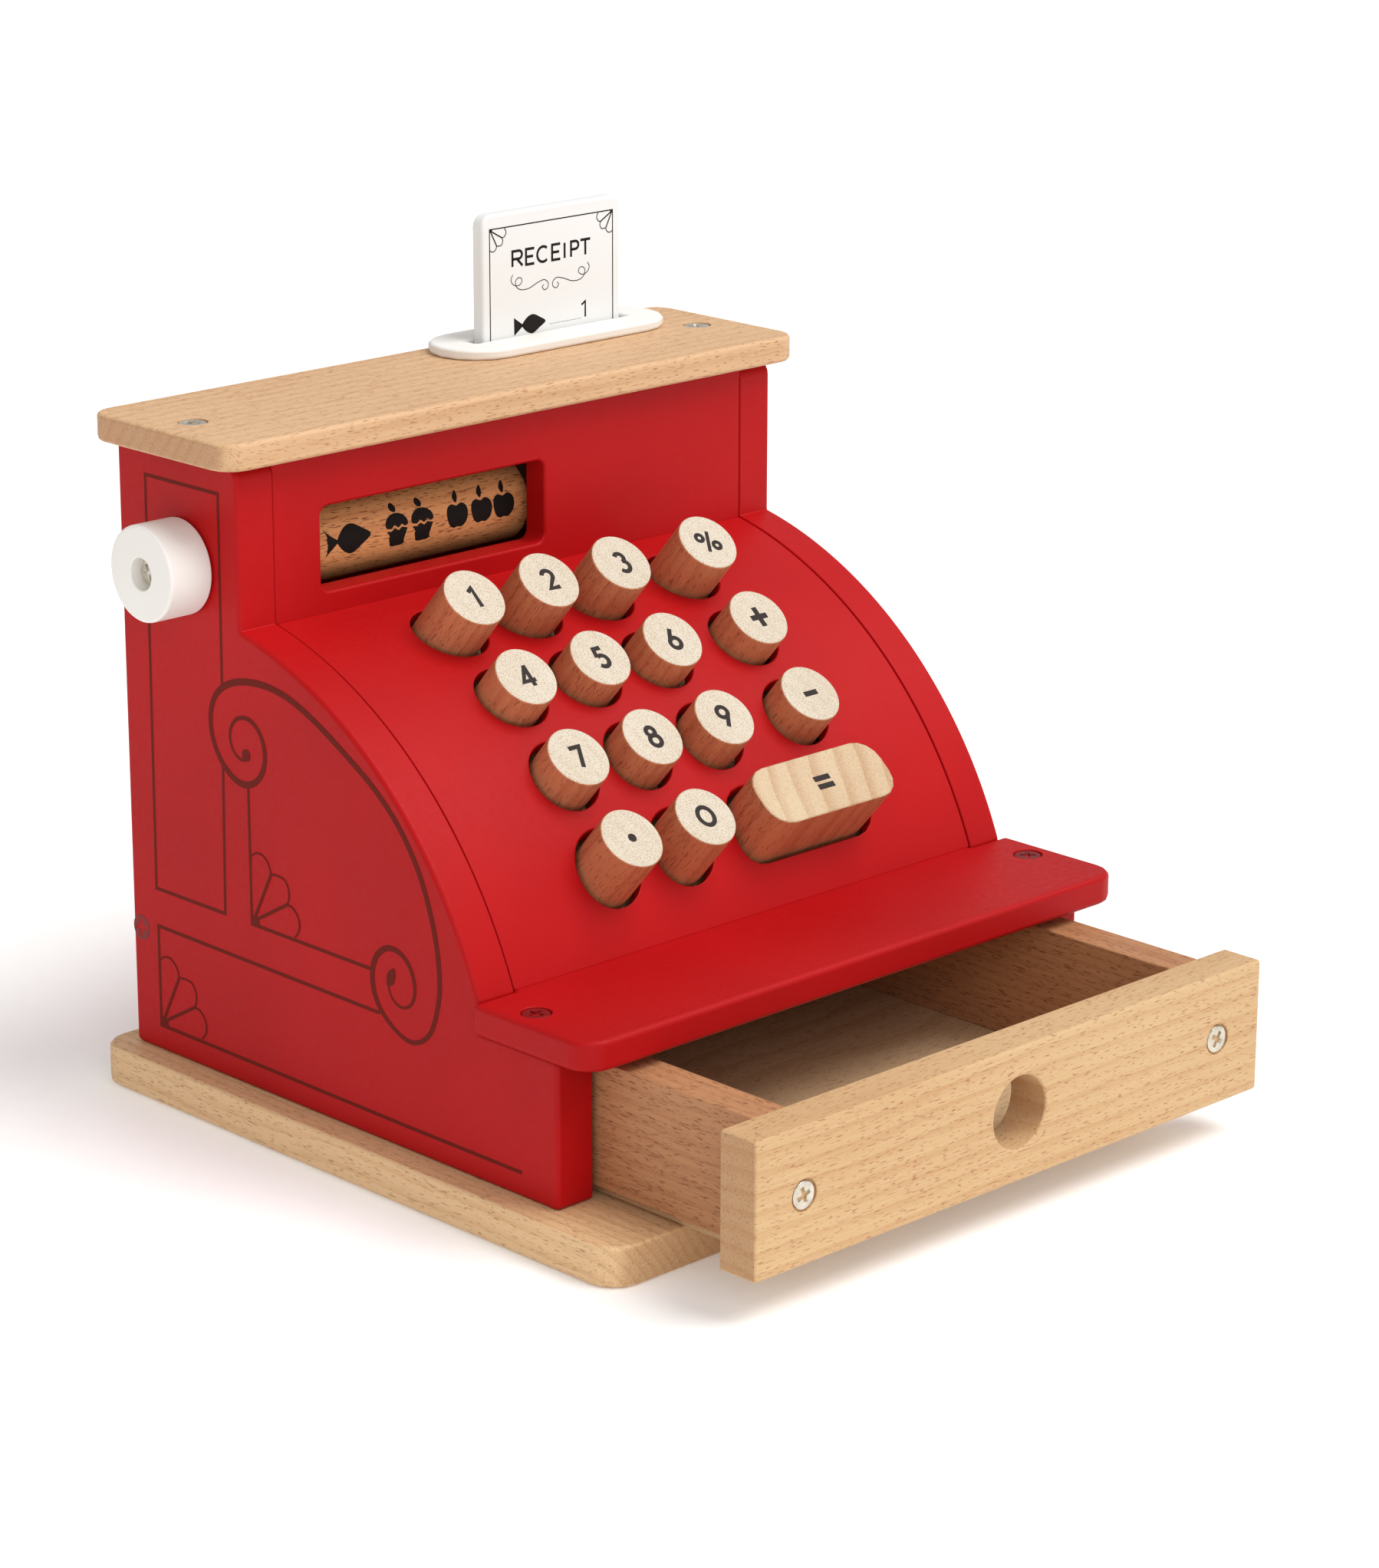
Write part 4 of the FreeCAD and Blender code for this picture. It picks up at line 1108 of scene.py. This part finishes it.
for sign in (1, -1):
    run = [(54.0 + sign * (x - 53.4 - 0.6 * sign), z) for x, z in FLOURISH]
    card_print.append(ribbon(smooth(mm(*run), 5), 0.26 * MM, lift=0.004 * MM))
card_print += figure([FISH, FISH_TAIL], 44.4 * MM, 219.0 * MM, 13.6 * MM, 9.0 * MM)
for dot in range(18):
    card_print.append(blot(circle((53.2 + dot * 0.78) * MM, 217.9 * MM, 0.16 * MM, 8)))
card_print.append(ribbon(mm((66.9, 222.2), (68.5, 223.2), (68.5, 218.1)), 0.7 * MM))
card_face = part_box("receipt_card")[0].y
piece("receipt_card_print", moved(together(*card_print),
                                  Matrix.Translation((0, card_face, 0)) @ PLAYERWAYS),
      black_ink, "receipt")


# ---- nodes that keep their shape

KEPT = {
    "drawer_catch_block": beech_wide, "receipt_stop": beech_wide, "key_guide_plate": ply,
    "key_spring_board": ply, "base_screws": zinc, "drum_axle": beech_wide,
}
for node, material in KEPT.items():
    mesh = nodes[node].data
    mesh.materials.clear()
    mesh.materials.append(material)


# ---- stage

FLOOR_RINGS = (0.4, 0.8, 1.6, 3.2, 6.0)
FLOOR_SIDES = 24


# The floor is a fan of triangles, then rings that widen outwards.
floor_places, floor_faces, rings = [Vector((0, 0, 0))], [], []
for radius in FLOOR_RINGS:
    rings.append(range(len(floor_places), len(floor_places) + FLOOR_SIDES))
    floor_places += [Vector((x, y, 0)) for x, y in circle(0, 0, radius, FLOOR_SIDES)]
floor_faces += [[0, i, i % FLOOR_SIDES + 1] for i in rings[0]]
for within, outside in zip(rings, rings[1:]):
    floor_faces += band(outside, within)
floor_mesh = bpy.data.meshes.new("floor")
floor_mesh.from_pydata(floor_places, [], floor_faces)
paint = Paint("floor_paper", Emission_Color=(1, 1, 1, 1), Emission_Strength=0.15)
paper = paint.noise(paint.place, scale=180.0, detail=3.0)
paper_tint = paint.tinted(paper, 0.3, 0.7, (246, 245, 243), (243, 242, 240))
floor_mesh.materials.append(paint.finish(paper_tint, None, 0.9, paper, 0.02 * MM, 0.3))
floor = in_scene("floor", floor_mesh)
floor.location.z = cad_box[0].z - 0.2 * MM


LOOK_AT = Vector((0, 0, 0.1))


def lamp(name, kind, place, power, **settings):
    """Light that stands at a place and shines on the middle of the object."""
    light = bpy.data.lights.new(name, kind)
    light.energy = power
    for setting, value in settings.items():
        setattr(light, setting, value)
    thing = in_scene(name, light)
    thing.location = place
    thing.rotation_mode = "QUATERNION"
    thing.rotation_quaternion = (LOOK_AT - Vector(place)).to_track_quat("-Z", "Y")


lamp("key_light", "SUN", (0.7, -1.0, 2.1), 2.3, angle=math.radians(36))
lamp("soft_box", "AREA", (-1.1, -1.3, 0.95), 7, shape="RECTANGLE", size=1.2, size_y=0.8)

world = bpy.data.worlds.new("studio")
bpy.context.scene.world = world
world.use_nodes = True
tree = world.node_tree
background = tree.nodes["Background"]
background.inputs["Color"].default_value = (1, 1, 1, 1)
path = tree.nodes.new("ShaderNodeLightPath")
strength = tree.nodes.new("ShaderNodeMapRange")
strength.inputs["To Min"].default_value = 0.55
strength.inputs["To Max"].default_value = 1.0
tree.links.new(path.outputs["Is Camera Ray"], strength.inputs["Value"])
tree.links.new(strength.outputs["Result"], background.inputs["Strength"])
bpy.context.scene.view_settings.view_transform = "Standard"

camera_data = bpy.data.cameras.new("camera")
camera_data.lens = 104.86
camera_data.sensor_width = 36
camera = in_scene("camera", camera_data)
azimuth, elevation, roll = math.radians(-44.278), math.radians(17.2208), math.radians(0.173)
back = Vector((math.sin(azimuth) * math.cos(elevation), -math.cos(azimuth) * math.cos(elevation),
               math.sin(elevation)))
camera.rotation_mode = "QUATERNION"
camera.rotation_quaternion = (-back).to_track_quat("-Z", "Y") @ Quaternion((0, 0, 1), roll)
camera.location = (-0.91767, -0.96582, 0.50945)
camera_data.clip_start, camera_data.clip_end = 0.05, 30
bpy.context.scene.camera = camera
